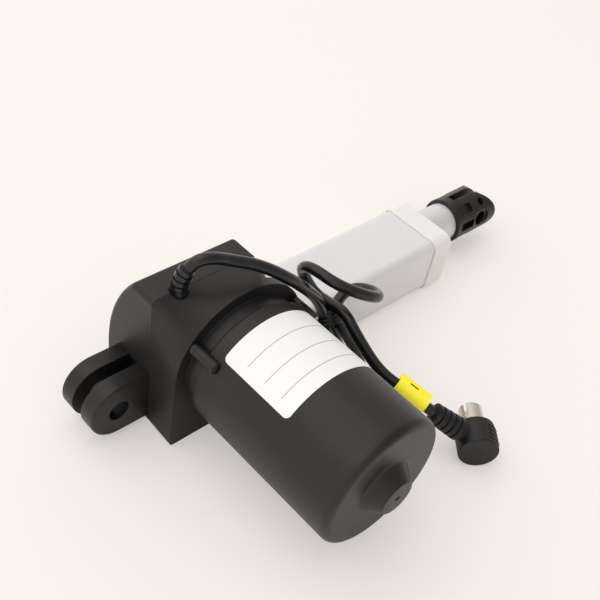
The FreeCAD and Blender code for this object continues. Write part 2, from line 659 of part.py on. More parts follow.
def motor_cover():
    """Moulded cover: narrower neck, full body, rounded end and a tapered end boss."""
    inner = COVER_END + COVER_EDGE_R
    steps = 4
    rim_r = COVER_R - COVER_EDGE_R
    tip = COVER_END - COVER_BOSS
    outer = [(NECK_R, COVER_START), (NECK_R, COVER_SHOULDER), (COVER_R, COVER_SHOULDER - 1.5),
             (COVER_R, COVER_END), (COVER_BOSS_BASE_R, COVER_END), (COVER_BOSS_TIP_R, tip),
             (COVER_DIMPLE_R, tip), (COVER_DIMPLE_R - 1, tip + 1.2), (0, tip + 1.2)]
    bore = [(0, HUB_END - AIR), (CAN_HUB_R + AIR, HUB_END - AIR), (CAN_HUB_R + AIR, CAN_END - AIR)]
    bore_arc = CAN_ARC_R + AIR
    for k in range(steps + 1):
        turn = math.pi / 2 * (1 - k / steps)
        bore.append((rim_r + bore_arc * math.cos(turn), inner - bore_arc * math.sin(turn)))
    bore.append((COVER_BORE_R, COVER_START))
    cover = revolved_y(outer + bore)
    for radius, y, edge_r in ((COVER_R, COVER_END, COVER_EDGE_R),
                              (COVER_BOSS_BASE_R, COVER_END, COVER_BOSS_FOOT_R),
                              (COVER_BOSS_TIP_R, tip, COVER_BOSS_EDGE_R)):
        cover = cover.makeFillet(edge_r, circles_about_motor(cover, radius, y))
    holes = []
    for angle in COVER_TAB_ANGLES:
        place = around_motor(COVER_TAB_RADIUS, angle, COVER_START - COVER_TAB_LENGTH)
        tab = rod_y(COVER_TAB_R, place.y, COVER_START, place.x, place.z)
        rim = [edge for edge in tab.Edges if abs(edge.BoundBox.Center.y - place.y) < 0.01]
        cover = cover.fuse(tab.makeFillet(1.0, rim))
        holes.append(rod_y(COVER_SCREW_R + SEAT, place.y - 1, COVER_START + 1, place.x, place.z))
        seat = place.y + COVER_SCREW_SINK
        holes.append(rod_y(COVER_SCREW_HEAD_R + SEAT, place.y - 0.5, seat, place.x, place.z))
    room = rod_y(COVER_BORE_R, CAN_ARC_Y, COVER_START + 1)
    save("motor_cover", cover.cut(holes + [room]).removeSplitter())
    screws = []
    for angle in COVER_TAB_ANGLES:
        place = around_motor(COVER_TAB_RADIUS, angle, COVER_START - COVER_TAB_LENGTH)
        seat = place.y + COVER_SCREW_SINK
        head = rod_y(COVER_SCREW_HEAD_R, seat - COVER_SCREW_HEAD, seat, place.x, place.z)
        stem = rod_y(COVER_SCREW_R, seat, HOUSING_NEAR + 5.5, place.x, place.z)
        screws.append(head.fuse(stem))
    save("motor_cover_screws", *screws)
    save("motor_gasket", sleeve_y(NECK_R, COVER_BORE_R, COVER_START, HOUSING_NEAR))


def motor_label():
    """A bare label wrapped over the top of the cover."""
    inner = COVER_R + 0.05
    corners = [V(MOTOR_X, LABEL_START_Y, MOTOR_Z + inner),
               V(MOTOR_X, LABEL_START_Y, MOTOR_Z + inner + LABEL_THICK),
               V(MOTOR_X, LABEL_START_Y - LABEL_LENGTH, MOTOR_Z + inner + LABEL_THICK),
               V(MOTOR_X, LABEL_START_Y - LABEL_LENGTH, MOTOR_Z + inner)]
    strip = Part.Face(Part.makePolygon(corners + corners[:1]))
    strip.rotate(V(MOTOR_X, 0, MOTOR_Z), V(0, 1, 0), -LABEL_REAR_ANGLE)
    sheet = strip.revolve(V(MOTOR_X, 0, MOTOR_Z), V(0, 1, 0), LABEL_REAR_ANGLE - LABEL_FRONT_ANGLE)
    short = [edge for edge in sheet.Edges if edge.Length < 2 * LABEL_THICK]
    save("motor_label", sheet.makeFillet(LABEL_CORNER_R, short))


def motor_frame():
    """Can, front plate, magnets, brush card and bearings, which stand still."""
    rim_r = COVER_R - COVER_EDGE_R
    inside = CAN_ARC_R - CAN_WALL
    outer = [(CAN_R, PLATE_Y - PLATE_THICK)]
    inner = [(CAN_HUB_R - CAN_WALL, HUB_END + CAN_WALL), (CAN_HUB_R - CAN_WALL, CAN_END + CAN_WALL)]
    steps = 4
    for k in range(steps + 1):
        turn = math.pi / 2 * k / steps
        outer.append((rim_r + CAN_ARC_R * math.cos(turn), CAN_ARC_Y - CAN_ARC_R * math.sin(turn)))
        back = math.pi / 2 - turn
        inner.append((rim_r + inside * math.cos(back), CAN_ARC_Y - inside * math.sin(back)))
    outer += [(CAN_HUB_R, CAN_END), (CAN_HUB_R, HUB_END), (0, HUB_END), (0, HUB_END + CAN_WALL)]
    inner.append((CAN_R - CAN_WALL, PLATE_Y - PLATE_THICK))
    save("motor_can", revolved_y(outer + inner))
    plate = rod_y(CAN_R, PLATE_Y - PLATE_THICK, PLATE_Y)
    plate = plate.fuse(rod_y(PILOT_R, PLATE_Y - PLATE_THICK - 3, HOUSING_NEAR + HOUSING_WALL))
    seat_end = PLATE_Y - PLATE_THICK - 3 + MOTOR_BEARING_WIDTH
    hole = rod_y(MOTOR_BEARING_R + FIT, -60, seat_end)
    save("motor_front_plate", plate.cut([hole, rod_y(SHAFT_R + 1.5, -60, 0)]).removeSplitter())
    front = sleeve_y(MOTOR_BEARING_R, SHAFT_R + FIT, seat_end - MOTOR_BEARING_WIDTH, seat_end)
    save("motor_front_bearing", front)
    rear_start = HUB_END + CAN_WALL
    rear_r = CAN_HUB_R - CAN_WALL - FIT
    rear = sleeve_y(rear_r, SHAFT_R + FIT, rear_start, rear_start + MOTOR_BEARING_WIDTH)
    save("motor_end_bearing", rear)
    bush = sleeve_y(WORM_BUSH_R, SHAFT_R + FIT, WORM_BUSH_Y, WORM_BUSH_Y + WORM_BUSH_LENGTH)
    save("worm_end_bush", bush)
    magnets = []
    bed = CAN_R - CAN_WALL - 0.05
    for start in (-MAGNET_ARC / 2, 180 - MAGNET_ARC / 2):
        profile = [V(MOTOR_X, CORE_REAR - 4, MOTOR_Z + bed - MAGNET_THICK),
                   V(MOTOR_X, CORE_FRONT + 4, MOTOR_Z + bed - MAGNET_THICK),
                   V(MOTOR_X, CORE_FRONT + 4, MOTOR_Z + bed), V(MOTOR_X, CORE_REAR - 4, MOTOR_Z + bed)]
        face = Part.Face(Part.makePolygon(profile + profile[:1]))
        face.rotate(V(MOTOR_X, 0, MOTOR_Z), V(0, 1, 0), start)
        magnets.append(face.revolve(V(MOTOR_X, 0, MOTOR_Z), V(0, 1, 0), MAGNET_ARC))
    save("motor_magnets", *magnets)
    card = sleeve_y(bed, COMMUTATOR_R + 1.0, CARD_Y - BRUSH_CARD_THICK, CARD_Y)
    save("brush_card", card)
    brushes = []
    for side in (-1, 1):
        start = MOTOR_X + side * (COMMUTATOR_R + AIR)
        end = MOTOR_X + side * (COMMUTATOR_R + 12)
        half = BRUSH_SIZE / 2
        brush = box(min(start, end), max(start, end), CARD_Y, CARD_Y + BRUSH_SIZE,
                    MOTOR_Z - half, MOTOR_Z + half)
        brushes.append(brush)
    save("motor_brushes", *brushes)


def armature():
    """Shaft, slotted core, windings, commutator and worm, which turn together."""
    shaft_end = HUB_END + CAN_WALL + 0.5
    shaft = rod_y(SHAFT_R, shaft_end, WORM_BUSH_Y + WORM_BUSH_LENGTH)
    save("armature_shaft", shaft)
    core = sleeve_y(CORE_R, SHAFT_R + 0.02, CORE_REAR, CORE_FRONT)
    ends = []
    for start, end in ((CORE_FRONT, CORE_FRONT + WINDING_LENGTH), (CORE_REAR - WINDING_LENGTH, CORE_REAR)):
        ring = sleeve_y(CORE_R - 1.5, SHAFT_R + 3, start, end)
        ends.append(ring.makeChamfer(2.0, [edge for edge in ring.Edges if edge.Length > 60]))
    slots = []
    for k in range(CORE_SLOTS):
        slot = box(MOTOR_X - CORE_SLOT_WIDTH / 2, MOTOR_X + CORE_SLOT_WIDTH / 2, CORE_REAR - 1,
                   CORE_FRONT + 1, MOTOR_Z + CORE_R - CORE_SLOT_DEPTH, MOTOR_Z + CORE_R + 1)
        slot.rotate(V(MOTOR_X, 0, MOTOR_Z), V(0, 1, 0), 360.0 * k / CORE_SLOTS)
        slots.append(slot)
    save("armature_core", core.cut(slots))
    save("armature_windings", *ends)
    drum = sleeve_y(COMMUTATOR_R, SHAFT_R + 0.02, CARD_Y, COMMUTATOR_Y)
    gashes = []
    for k in range(COMMUTATOR_BARS):
        gash = box(MOTOR_X - 0.3, MOTOR_X + 0.3, CARD_Y - 1, COMMUTATOR_Y + 1,
                   MOTOR_Z + COMMUTATOR_R - 1, MOTOR_Z + COMMUTATOR_R + 1)
        gash.rotate(V(MOTOR_X, 0, MOTOR_Z), V(0, 1, 0), 360.0 * k / COMMUTATOR_BARS)
        gashes.append(gash)
    save("commutator", drum.cut(gashes))
    worm = sleeve_y(WORM_CORE_R, SHAFT_R + 0.02, -WORM_HALF_LENGTH, WORM_HALF_LENGTH)
    rims = [edge for edge in worm.Edges if edge.Length > 50]
    save("worm", worm.makeChamfer(1.2, rims))


# Tube, cap and rod

def outer_tube():
    """Drawn tube with a rounded box outline, open at both ends."""
    start = HOUSING_FRONT + SEAT
    tube = tube_prism(start, TUBE_END, 0.0).cut(tube_prism(start - 1, TUBE_END + 1, -TUBE_WALL))
    holes = [rod_y(TUBE_SCREW_R + SEAT, 0, 60, HOUSING_FRONT + COLLAR_LENGTH / 2, z) for z in TUBE_SCREW_Z]
    save("outer_tube", tube.cut(holes))
    screws = []
    seat = TUBE_FAR_Y + COLLAR_WALL
    for z in TUBE_SCREW_Z:
        x = HOUSING_FRONT + COLLAR_LENGTH / 2
        stem = rod_y(TUBE_SCREW_R, TUBE_FAR_Y - TUBE_WALL - 1.5, seat, x, z)
        head = rod_y(TUBE_SCREW_HEAD_R, seat, seat + TUBE_SCREW_HEAD, x, z)
        recess = rod_y(TUBE_SCREW_R * 0.8, seat + 0.6, seat + 5, x, z)
        screws.append(head.cut(recess).fuse(stem))
    save("tube_screws", *screws)


def front_cap():
    """Moulded cap that slips over the tube and holds the guide and wiper."""
    block = tube_prism(CAP_REAR, CAP_FRONT, CAP_WALL)
    for x, radius in ((CAP_FRONT, CAP_FRONT_EDGE_R), (CAP_REAR, CAP_REAR_EDGE_R)):
        rims = [edge for edge in block.Edges
                if edge.BoundBox.XLength < 0.01 and abs(edge.BoundBox.XMin - x) < 0.01]
        block = block.makeFillet(radius, rims)
    room = tube_prism(CAP_REAR - 1, CAP_FRONT - CAP_FRONT_WALL, SEAT)
    wiper_r = ROD_R + FIT + WIPER_WALL
    hole = rod_x(wiper_r + FIT, CAP_FRONT - CAP_FRONT_WALL - 1, CAP_FRONT + 1)
    save("front_cap", block.cut([room, hole]))
    plate = tube_prism(TUBE_END + FIT, TUBE_END + FIT + GUIDE_PLATE, -0.1)
    sleeve = rod_x(ROD_R + FIT + GUIDE_WALL, TUBE_END - GUIDE_LENGTH, TUBE_END + GUIDE_PLATE)
    bore = rod_x(ROD_R + FIT, TUBE_END - GUIDE_LENGTH - 1, TUBE_END + GUIDE_PLATE + 5)
    save("guide_bush", plate.fuse(sleeve).cut(bore).removeSplitter())
    ring = sleeve_x(wiper_r, ROD_R + FIT, CAP_FRONT - CAP_FRONT_WALL + FIT, CAP_FRONT - 0.4)
    save("rod_wiper", ring)


def rod():
    save("inner_tube", inner_tube())
    flange = rod_x(ROD_R - 0.1, NUT_REAR, NUT_FRONT)
    spigot = rod_x(ROD_BORE_R - FIT, NUT_FRONT - 1, NUT_FRONT + NUT_SPIGOT)
    cam = box(NUT_REAR + 1, NUT_FRONT - 1, NUT_CAM_TIP, -ROD_BORE_R, -NUT_CAM_WIDTH / 2, NUT_CAM_WIDTH / 2)
    bore = rod_x(SCREW_R + FIT, NUT_REAR - 1, NUT_FRONT + NUT_SPIGOT + 1)
    save("screw_nut", flange.fuse(spigot).fuse(cam).cut(bore).removeSplitter())
    save("rod_rivet", Part.makeCylinder(RIVET_R, RIVET_LENGTH, V(RIVET_X, 0, -ROD_R + 0.3)))
    save("front_fork", front_fork())


def inner_tube():
    tube = sleeve_x(ROD_R, ROD_BORE_R, NUT_FRONT, FORK_REAR)
    hole = Part.makeCylinder(RIVET_R + FIT, 2 * ROD_R, V(RIVET_X, 0, -2 * ROD_R))
    return tube.cut(hole)


def fork_pocket(depth, angle):
    """Cutter for one long pocket in the fork's round face, its angle taken from the slot."""
    pocket = box(POCKET_START, POCKET_START + POCKET_LENGTH, -POCKET_WIDTH / 2, POCKET_WIDTH / 2,
                 FORK_R - depth, FORK_R + 5)
    upright = [edge for edge in pocket.Edges if edge.BoundBox.ZLength > depth]
    pocket = pocket.makeFillet(POCKET_EDGE_R, upright)
    pocket.rotate(V(0, 0, 0), V(1, 0, 0), angle)
    return pocket


def front_fork():
    """Round head, its tip rounded about the pivot, with a cross slot, pockets and dimples."""
    head = rod_x(FORK_R, FORK_REAR, FORK_TIP)
    rear = [edge for edge in head.Edges if edge.BoundBox.XMax < FORK_REAR + 0.01]
    head = head.makeFillet(FORK_EDGE_R, rear)
    toe = Part.makeCylinder(FORK_TOE, 4 * FORK_R, V(PIVOT_SPACING, -2 * FORK_R, 0), V(0, 1, 0))
    heel = box(FORK_REAR - 1, PIVOT_SPACING, -2 * FORK_R, 2 * FORK_R, -2 * FORK_R, 2 * FORK_R)
    head = head.common(heel.fuse(toe)).removeSplitter()
    spigot = rod_x(ROD_BORE_R - FIT, FORK_REAR - FORK_SPIGOT, FORK_REAR + 1)
    cuts = [
        box(FORK_SLOT_START, FORK_TIP + 1, -FORK_SLOT / 2, FORK_SLOT / 2, -FORK_R - 1, FORK_R + 1),
        Part.makeCylinder(FRONT_BORE_R, 4 * FORK_R, V(PIVOT_SPACING, -2 * FORK_R, 0), V(0, 1, 0)),
        rod_x(5.0, FORK_REAR - FORK_SPIGOT - 1, FORK_REAR + 4),
    ]
    for side in (-1, 1):
        low = min(side * FORK_CHEEK_Y, side * (FORK_R + 5))
        cuts.append(rod_y(FORK_CHEEK_R, low, low + FORK_R + 5 - FORK_CHEEK_Y, PIVOT_SPACING, 0))
        cuts.append(fork_pocket(POCKET_DEPTH, 90 * side))
        for angle in (45, 135):
            cuts.append(fork_pocket(SHALLOW_POCKET_DEPTH, angle * side))
            dimple = Part.makeCylinder(DIMPLE_R, 10, V(DIMPLE_X, 0, DIMPLE_FLOOR_R))
            dimple.rotate(V(0, 0, 0), V(1, 0, 0), angle * side)
            cuts.append(dimple)
    fork = head.fuse(spigot).cut(cuts).removeSplitter()
    fork.rotate(V(0, 0, 0), V(1, 0, 0), -FORK_TURN)
    return fork.cut(Part.makeCylinder(RIVET_R + FIT, RIVET_LENGTH + FIT, V(RIVET_X, 0, -ROD_R + 0.3)))


def limit_switches():
    wall = TUBE_NEAR_Y + TUBE_WALL
    face = wall + 0.3 + STRIP_THICK
    strip = box(STRIP_START, STRIP_END, wall + 0.3, face, -STRIP_HALF_WIDTH, STRIP_HALF_WIDTH)
    save("limit_strip", strip)
    switches = []
    centre = NUT_REAR + NUT_FLANGE / 2
    for x in (centre, centre + STROKE):
        body = box(x - SWITCH_LENGTH / 2, x + SWITCH_LENGTH / 2, face, face + SWITCH_HEIGHT,
                   -SWITCH_HALF_WIDTH, SWITCH_HALF_WIDTH)
        plunger = rod_y(1.4, face + SWITCH_HEIGHT - 1, NUT_CAM_TIP - AIR, x, 0)
        switches.append(body.fuse(plunger))
    save("limit_switches", *switches)


# Strain relief, cord and plug

def gland_ring(share, radius):
    """A circle of the bent boot, at a share of its length."""
    centre, heading = gland_place(share)
    return Part.Wire(Part.makeCircle(radius, centre, heading))


def gland_place(share):
    turn = GLAND_BEND * share
    curve = GLAND_LENGTH / GLAND_BEND
    side = GLAND_HEADING * (curve * (1 - math.cos(turn)))
    centre = V(GLAND_X, SEAM_Y, GLAND_BASE_Z + curve * math.sin(turn)) + side
    heading = GLAND_HEADING * math.sin(turn) + V(0, 0, math.cos(turn))
    return centre, heading


def strain_relief():
    """Bent boot of thick rings on a thinner core, with a stem and lock ring in the housing."""
    rings = []
    for k in range(5):
        rings.append(gland_ring(k / 4, GLAND_CORE_R + (GLAND_TIP_R - GLAND_CORE_R) * k / 4))
    boot = Part.makeLoft(rings, True)
    stem_start = GLAND_BASE_Z - GLAND_STEM
    stem = Part.makeCylinder(GLAND_R, GLAND_STEM + 0.8, V(GLAND_X, SEAM_Y, stem_start))
    stem = stem.fuse(Part.makeCylinder(GLAND_LOCK_R, GLAND_LOCK, V(GLAND_X, SEAM_Y, stem_start)))
    for k in range(GLAND_RIBS):
        share = (k + 0.65) / (GLAND_RIBS + 0.2)
        centre, heading = gland_place(share)
        radius = GLAND_CORE_R + (GLAND_TIP_R - GLAND_CORE_R) * share + GLAND_RIB_PROUD
        foot = centre - heading * (GLAND_RIB_WIDTH / 2)
        boot = boot.fuse(Part.makeCylinder(radius, GLAND_RIB_WIDTH, foot, heading))
    save("strain_relief", boot.fuse(stem).removeSplitter())


def cord_tube(node, points):
    """A tube on straight runs and tangent arcs, each arc as large as its runs allow."""
    radii = [0.0] * len(points)
    for i in range(1, len(points) - 1):
        back = points[i - 1] - points[i]
        ahead = points[i + 1] - points[i]
        half_turn = (math.pi - back.getAngle(ahead)) / 2
        radii[i] = 0.45 * min(back.Length, ahead.Length) / math.tan(half_turn)
    path = Part.Wire(rounded_edges(points, radii, False))
    circle = Part.Wire(Part.makeCircle(CORD_R, points[0], points[1] - points[0]))
    tube = path.makePipeShell([circle], True, False)
    print(node, "radii", [round(radius, 1) for radius in radii[1:-1]])
    print(node, "volume over section times length", tube.Volume / (math.pi * CORD_R ** 2 * path.Length))
    save(node, tube)


def cord():
    top, heading = gland_place(1.0)
    cord_tube("cord_lead", [top] + [V(*point) for point in LEAD_POINTS])
    cord_tube("cord_tail", [V(*point) for point in TAIL_POINTS])


def cord_hank():
    """Outer shape of the tied hank: a loop above the tie and a longer loop below it."""
    normal = V(HANK_TOP_NORMAL).normalize()
    loop = Part.makeCylinder(HANK_TOP_R, HANK_THICK, HANK_TOP - normal * (HANK_THICK / 2), normal)
    loop = loop.makeFillet(HANK_THICK * 0.45, [edge for edge in loop.Edges if edge.Length > 100])
    axis = (HANK_TOP - HANK_WAIST).normalize()
    neck_start = HANK_WAIST - axis * (TIE_LENGTH / 2)
    neck = Part.makeCylinder(HANK_WAIST_R, (HANK_TOP - neck_start).Length, neck_start, axis)
    drop = V(HANK_DROP).normalize()
    side = V(HANK_SIDE).normalize()
    across = drop.cross(side).normalize()
    root = HANK_WAIST + side * HANK_DROP_SHIFT - across * (HANK_THICK / 2)
    wide = side * HANK_DROP_R
    corners = [root - wide + drop, root - wide + drop * HANK_DROP_LENGTH,
               root + wide + drop * HANK_DROP_LENGTH, root + wide + drop]
    face = Part.Face(outline(corners, [HANK_DROP_R * 0.98] * 4))
    lobe = face.extrude(across * HANK_THICK)
    hank = loop.fuse(neck).fuse(lobe).removeSplitter()
    band = HANK_WAIST_R + SEAT
    tie_start = HANK_WAIST + axis * TIE_RISE
    tie = Part.makeCylinder(band + TIE_WALL, TIE_LENGTH, tie_start, axis)
    tie = tie.cut(Part.makeCylinder(band, TIE_LENGTH, tie_start, axis))
    save("cord_hank", hank)
    save("cord_tie", tie)


def cord_flag():
    """A folded marker round the cable, with its ends stuck together."""
    start, end = V(*TAIL_POINTS[FLAG_RUN]), V(*TAIL_POINTS[FLAG_RUN + 1])
    run = (end - start).normalize()
    out = run.cross(V(0, 0, 1)).normalize()
    middle = (start + end) * 0.5
    inner = CORD_R + FLAG_ROOM
    foot = middle - run * (FLAG_LENGTH / 2)
    sleeve = Part.makeCylinder(inner + FLAG_WALL, FLAG_LENGTH, foot, run)
    flap = [foot - out.cross(run) * FLAG_WALL, foot + out.cross(run) * FLAG_WALL]
    far = [flap[1] - out * (inner + FLAG_REACH), flap[0] - out * (inner + FLAG_REACH)]
    corners = flap + far
    sheet = Part.Face(Part.makePolygon(corners + corners[:1])).extrude(run * FLAG_LENGTH)
    bore = Part.makeCylinder(inner, FLAG_LENGTH + 2, foot - run, run)
    save("cord_flag", sleeve.fuse(sheet).cut(bore).removeSplitter())


def plug():
    """Right-angle plug: grooved body, ringed boot, keyed shell, insert and pins."""
    axis = V(PLUG_AXIS).normalize()
    back = V(PLUG_BACK.x, PLUG_BACK.y, PLUG_Z)
    mouth = back + axis * PLUG_LENGTH
    entry = back + axis * PLUG_ENTRY
    way = V(*TAIL_POINTS[-1]) - entry
    heading = V(way).normalize()
    away = (axis * heading.dot(axis) - heading).normalize()
    body = Part.makeCylinder(PLUG_R, PLUG_LENGTH, back, axis)
    body = body.makeFillet(PLUG_EDGE_R, [edge for edge in body.Edges if edge.Length > 50])
    for k in range(PLUG_GRIP_GROOVES):
        foot = back + axis * (PLUG_EDGE_R + 0.6 + PLUG_GROOVE_PITCH * k)
        ring = Part.makeCylinder(PLUG_R + 5, PLUG_GROOVE_WIDTH, foot, axis)
        ring = ring.cut(Part.makeCylinder(PLUG_R - PLUG_GROOVE_DEPTH, PLUG_GROOVE_WIDTH, foot, axis))
        side = Part.makeCylinder(PLUG_GROOVE_REACH / 2, 2 * PLUG_R, foot, away)
        body = body.cut(ring.common(side))
    length = way.Length + PLUG_GRIP
    body = body.fuse(Part.makeCone(PLUG_BOOT_R, PLUG_BOOT_TIP_R, length, entry, heading))
    for k in range(PLUG_BOOT_RIBS):
        reach = length - PLUG_RIB_WIDTH - 0.6 - PLUG_RIB_PITCH * k
        radius = PLUG_BOOT_R + (PLUG_BOOT_TIP_R - PLUG_BOOT_R) * reach / length + PLUG_RIB_PROUD
        body = body.fuse(Part.makeCylinder(radius, PLUG_RIB_WIDTH, entry + heading * reach, heading))
    body = body.cut(Part.makeCylinder(PLUG_SHELL_R + AIR, PLUG_SHELL_LENGTH, mouth, axis))
    save("plug_body", body.removeSplitter())
    shell = Part.makeCylinder(PLUG_SHELL_R, PLUG_SHELL_LENGTH, mouth, axis)
    inner_r = PLUG_SHELL_R - PLUG_SHELL_WALL
    shell = shell.cut(Part.makeCylinder(inner_r, PLUG_SHELL_LENGTH, mouth, axis))
    across = axis.cross(V(0, 0, 1)).normalize()
    key_start = mouth + axis * (PLUG_SHELL_LENGTH - PLUG_KEY_LENGTH)
    key_side = V(0, 0, 1) - across
    turn = FreeCAD.Rotation(key_side.cross(axis), key_side, axis, "ZYX")
    key = Part.makeBox(PLUG_KEY_WIDTH, 2 * PLUG_SHELL_R, PLUG_KEY_LENGTH + 1)
    key.translate(V(-PLUG_KEY_WIDTH / 2, 0, 0))
    key.Placement = FreeCAD.Placement(key_start, turn).multiply(key.Placement)
    save("plug_shell", shell.cut(key))
    save("plug_insert", Part.makeCylinder(inner_r - FIT, PLUG_INSERT_LENGTH, mouth, axis))
    pins = []
    for k in range(PIN_COUNT):
        angle = math.radians(-90 + 180 * k / (PIN_COUNT - 1))
        place = across * (PIN_CIRCLE_R * math.sin(angle)) + V(0, 0, PIN_CIRCLE_R * math.cos(angle))
        foot = mouth + axis * PLUG_INSERT_LENGTH + place
        pins.append(Part.makeCylinder(PIN_R, PIN_LENGTH, foot, axis))
    save("plug_pins", *pins)


os.makedirs("parts", exist_ok=True)
housing_halves()
rear_clevis()
spindle()
worm_wheel()
motor_cover()
motor_label()
motor_frame()
armature()
outer_tube()
front_cap()
rod()
limit_switches()
strain_relief()
cord()
cord_hank()
cord_flag()
plug()
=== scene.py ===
import math

import bpy
from bpy.props import FloatProperty, FloatVectorProperty, IntProperty, PointerProperty
from mathutils import Matrix, Vector


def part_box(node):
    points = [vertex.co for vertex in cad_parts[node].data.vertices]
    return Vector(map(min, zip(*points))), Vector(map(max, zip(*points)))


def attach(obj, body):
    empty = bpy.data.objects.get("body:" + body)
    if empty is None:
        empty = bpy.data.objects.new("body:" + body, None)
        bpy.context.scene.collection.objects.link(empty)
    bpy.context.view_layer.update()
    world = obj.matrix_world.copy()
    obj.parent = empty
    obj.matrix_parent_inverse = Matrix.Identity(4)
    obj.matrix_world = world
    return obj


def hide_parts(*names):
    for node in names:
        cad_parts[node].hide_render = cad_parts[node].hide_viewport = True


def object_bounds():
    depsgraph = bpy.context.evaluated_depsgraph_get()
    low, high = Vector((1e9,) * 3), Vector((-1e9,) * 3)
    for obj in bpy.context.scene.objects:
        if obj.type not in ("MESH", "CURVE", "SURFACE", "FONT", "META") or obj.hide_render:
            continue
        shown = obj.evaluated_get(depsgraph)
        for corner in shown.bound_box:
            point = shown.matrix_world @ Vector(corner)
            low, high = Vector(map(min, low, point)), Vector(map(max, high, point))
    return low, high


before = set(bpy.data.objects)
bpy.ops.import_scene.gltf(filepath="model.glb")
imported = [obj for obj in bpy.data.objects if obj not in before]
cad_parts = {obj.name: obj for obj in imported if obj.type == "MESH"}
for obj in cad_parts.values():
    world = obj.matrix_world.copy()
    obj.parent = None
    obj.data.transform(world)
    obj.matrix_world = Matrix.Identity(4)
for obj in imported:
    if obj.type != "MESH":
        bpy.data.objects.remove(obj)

bl_info = {
    "name": "Bed Actuator Looks",
    "version": (1, 0, 0),
    "blender": (4, 5, 0),
    "location": "3D View > Sidebar > Actuator",
    "description": "Finishes, motor cover end, cord, tie, flag, plug grip and stage of a bed actuator",
    "category": "Object",
}

CAD_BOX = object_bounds()

# Cord route in metres: out of the strain relief, into the tied hank and on to the plug
LEAD_ROUTE = (
    (0.0354, -0.01665, 0.08374), (0.0374, -0.0176, 0.0870), (0.0414, -0.0192, 0.0890),
    (0.0485, -0.0215, 0.0880), (0.0560, -0.0230, 0.0842), (0.0700, -0.0305, 0.0800),
    (0.0850, -0.0400, 0.0700), (0.1030, -0.0410, 0.0515), (0.1122, -0.0408, 0.0381),
)
LOWER_LOOP = (
    (0.1163, -0.0414, 0.0270), (0.1169, -0.0480, 0.0214), (0.1140, -0.0610, 0.0175),
    (0.1128, -0.0740, 0.0130), (0.1145, -0.0845, 0.0050), (0.1205, -0.0885, -0.0045),
    (0.1275, -0.0840, -0.0110), (0.1320, -0.0725, -0.0105), (0.1328, -0.0620, -0.0020),
    (0.1303, -0.0550, 0.0096), (0.1237, -0.0489, 0.0213), (0.1218, -0.0435, 0.0287),
)
UPPER_LOOP = (
    (0.1276, -0.0394, 0.0336), (0.1366, -0.0397, 0.0381), (0.1417, -0.0490, 0.0418),
    (0.1380, -0.0601, 0.0458), (0.1250, -0.0592, 0.0532), (0.1118, -0.0491, 0.0595),
    (0.1077, -0.0322, 0.0620), (0.1100, -0.0229, 0.0540), (0.1143, -0.0256, 0.0438),
    (0.1186, -0.0303, 0.0352), (0.1189, -0.0415, 0.0366),
)
TAIL_ROUTE = (
    (0.1204, -0.0517, 0.0374), (0.1190, -0.0640, 0.0306), (0.1220, -0.0820, 0.0167),
    (0.1278, -0.0964, 0.0117), (0.1319, -0.1070, 0.0077), (0.1359, -0.1166, 0.0040),
)

# Pieces on the cord: new ones and packed ones
NEW_ON_CORD = ("cord_tie_wraps", "marker_flag", "flag_number", "plug_grip_ribs")
PACKED_ON_CORD = ("plug_body", "plug_shell", "plug_insert", "plug_pins")

# Motor cover's end as packed: rim, dimple and end boss
PACKED_RIM = 0.010
PACKED_DIMPLE = 0.004
BOSS_HEIGHT = 0.009
BOSS_FOOT = 0.016
BOSS_TIP = 0.010

# How near a vertex counts as on a surface, how far inside the boss's cone one still belongs to it,
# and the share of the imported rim's round that becomes each straight stretch
COVER_NEAR = 0.00005
BOSS_SKIN = 0.002
RIM_STRAIGHT = 0.15

# Tie: the middle of its turns, their axis and their wide way. The pitch is in ribbon widths, and
# the flatness is the narrow way over the wide way
TIE_PLACE = Vector((0.1193, -0.0430, 0.0277))
TIE_AXIS = Vector((0.04, 0.53, 0.847)).normalized()
TIE_WIDE = Vector((0.891, -0.397, -0.220))
TIE_THICK = 0.0015
TIE_PITCH = 1.02
TIE_FLATNESS = 0.57

# Flag: its ends on the cable, its play round the cable and the thickness of its film
FLAG_START = Vector(TAIL_ROUTE[3])
FLAG_END = Vector(TAIL_ROUTE[4])
FLAG_PLAY = 0.0003
FLAG_FILM = 0.00022
# Strength of the painted glow that stands in for the flag's fluorescence
FLAG_PAINTED_GLOW = 0.20

# The flag's round is cut open beyond FLAG_CUT and the lips of the cut lie beyond FLAG_LIPS, in shares
# of its radius. The flaps close to FLAG_PARTING of the lips' gap and rise by FLAG_RISE of the radius.
# An edge whose middle is LIP_NEAR the flag's middle runs all along it
FLAG_CUT = 0.90
FLAG_LIPS = 0.85
FLAG_PARTING = 0.05
FLAG_RISE = 0.5
LIP_NEAR = 0.0001

# Number: text size for a digit of height 1, its place as a share of the flaps' reach, its rise over
# the flaps' ends, its shift along the cable and half its thickness
NUMBER_SIZE = 1.38
NUMBER_ACROSS = 0.30
NUMBER_RISE = 0.00018
NUMBER_SHIFT = -0.0007
NUMBER_HALF = 0.00006

# Plug's round body as packed: the middle of its back, its axis and its radius
PLUG_BACK = Vector((0.1464, -0.1440, -0.0096))
PLUG_AXIS = Vector((0.657, 0.754, 0.0))
PLUG_RADIUS = 0.0115

# Grip ribs: the first one's place along the plug, and angles in degrees round it from straight up
RIB_THICK = 0.0010
RIB_FIRST = 0.00355
RIB_START = 26.0
RIB_SWEEP = 44.0

